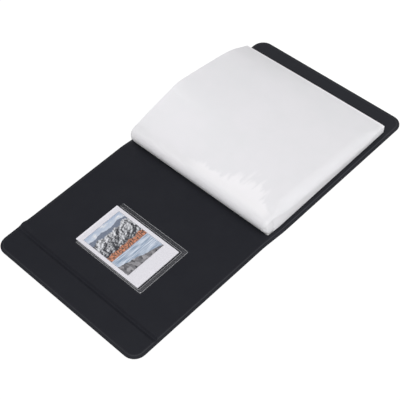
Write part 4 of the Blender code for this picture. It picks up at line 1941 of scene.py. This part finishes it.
@dataclass
class Studio:
    """Floor, soft light and the camera at the photograph's angle."""

    lens: float = 96.28
    sensor: float = 36.0
    camera_place: Point = (-0.44815, -0.51752, 0.80916)
    right: Point = (0.69722, -0.71269, -0.07716)
    up: Point = (0.58782, 0.50679, 0.63058)
    back: Point = (-0.41030, -0.48501, 0.77228)
    sky: float = 0.38
    floor_size: float = 24.0
    floor_drop: float = 0.3 * MM

    # Name, place, target, side in metres and watts of each light.
    LIGHTS = (
        ("front_softbox", (-0.60, -0.64, 1.33), (0.0, 0.0, 0.0), 1.4, 17.5),
        ("overhead", (0.05, 0.45, 1.65), (0.0, 0.0, 0.0), 1.6, 5.9),
        ("near_fill", (0.20, -1.15, 0.32), (0.08, -0.09, 0.02), 0.5, 1.3),
    )

    def build(self) -> None:
        """Make the floor, the lights and the camera."""
        self.build_floor()
        self.build_world()
        for light in self.LIGHTS:
            self.build_light(*light)
        self.build_camera()

    def build_floor(self) -> None:
        """Lay the floor just under the album."""
        half = self.floor_size / 2
        corners = [(-half, -half), (half, -half), (half, half), (-half, half)]
        mesh = bpy.data.meshes.new("floor")
        mesh.from_pydata([(x, y, -self.floor_drop) for x, y in corners], [], [(0, 1, 2, 3)])
        floor = bpy.data.objects.new("floor", mesh)
        bpy.context.scene.collection.objects.link(floor)
        mesh.materials.append(PaleFloor("pale_floor").material())

    def build_world(self) -> None:
        """Light the whole room with an even white."""
        world = bpy.data.worlds.new("studio_white")
        bpy.context.scene.world = world
        world.use_nodes = True
        background = world.node_tree.nodes["Background"]
        background.inputs["Color"].default_value = (1.0, 1.0, 1.0, 1.0)
        background.inputs["Strength"].default_value = self.sky
        bpy.context.scene.view_settings.view_transform = "Standard"

    def build_light(self, name: str, place: Point, target: Point, size: float, power: float) -> None:
        """Hang one square soft light.

        Args:
            name: name of the light.
            place: where it hangs.
            target: what it faces.
            size: length of its side.
            power: watts.
        """
        data = bpy.data.lights.new(name, "AREA")
        data.shape = "SQUARE"
        data.size = size
        data.energy = power
        light = bpy.data.objects.new(name, data)
        bpy.context.scene.collection.objects.link(light)
        light.location = place
        light.rotation_euler = (Vector(target) - Vector(place)).to_track_quat("-Z", "Y").to_euler()

    def build_camera(self) -> None:
        """Stand the camera where the photograph was taken from."""
        data = bpy.data.cameras.new("camera")
        data.lens = self.lens
        data.sensor_width = self.sensor
        camera = bpy.data.objects.new("camera", data)
        bpy.context.scene.collection.objects.link(camera)
        turn = Matrix((self.right, self.up, self.back)).transposed().to_4x4()
        camera.matrix_world = Matrix.Translation(self.camera_place) @ turn
        bpy.context.scene.camera = camera


def dress_nodes(nodes: Iterable[str], finish: bpy.types.Material) -> None:
    """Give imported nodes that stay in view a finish.

    Args:
        nodes: names of the nodes.
        finish: their material.
    """
    for name in nodes:
        for slot in frame["nodes"][name].material_slots:
            slot.material = finish
        LOG.info("%s: dressed in %s", name, finish.name)


def main() -> None:
    """Build the album's looks from the cover inward, then the studio."""
    logging.basicConfig(level=logging.INFO, format="%(message)s")
    lines = HingeLines.read()

    # Third colour: the paler tone where wear and painted light are marked.
    lining = Leatherette(
        "lining_leatherette", (0.0132, 0.0139, 0.0186), (0.0164, 0.0172, 0.0220), (0.060, 0.061, 0.068)
    )
    skin = Leatherette(
        "skin_leatherette", (0.0134, 0.0142, 0.0190), (0.0168, 0.0176, 0.0226), (0.050, 0.051, 0.058)
    )
    foam = FibrousStock(
        "white_foam", (0.60, 0.59, 0.55), (0.74, 0.73, 0.69), per_metre=700.0, roughness=0.92, depth=0.2 * MM
    )
    board = FibrousStock(
        "grey_board",
        (0.26, 0.24, 0.21),
        (0.38, 0.36, 0.33),
        per_metre=420.0,
        roughness=0.90,
        depth=0.05 * MM,
        stretch=0.4,
    )
    card = FibrousStock(
        "print_stock",
        (0.745, 0.732, 0.785),
        (0.785, 0.772, 0.820),
        per_metre=800.0,
        roughness=0.38,
        depth=0.004 * MM,
    )
    tape = FibrousStock(
        "cloth_tape",
        (0.48, 0.48, 0.48),
        (0.62, 0.62, 0.61),
        per_metre=1500.0,
        roughness=0.75,
        depth=0.06 * MM,
        stretch=2.5,
    )
    # Paler, more opaque film of the welds; on the beads it is partly a painted highlight, and it also makes
    # the painted glint.
    pocket_weld_and_glint = ClearFilm("welded_film_and_glint", (0.50, 0.50, 0.52), (0.62, 0.62, 0.64))
    leaf_weld = FrostedFilm("leaf_weld", (0.70, 0.70, 0.72), (0.76, 0.76, 0.77), roughness=0.25)

    cover = Cover(lines)
    cover.build_lining(lining.material())
    cover.build_skin(skin.material())
    cover.build_padding(foam.material())
    dress_nodes([f"{panel}_board" for panel in ("flap", "front", "spine", "back")], board.material())

    PrintPocket().build(ClearFilm("pocket_film").material(), pocket_weld_and_glint.material())
    dress_nodes(["print_card"], card.material())
    dress_nodes(["print_picture"], LakePicture("lake_picture", *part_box("print_picture")).material())

    block = LeafBlock(lines)
    block.build_leaves(FrostedFilm("frosted_film").material(), leaf_weld.material())
    block.build_core(WeldedStubs("welded_stubs").material())
    dress_nodes(["binding_tape"], tape.material())

    Studio().build()


if __name__ == "__main__":
    main()
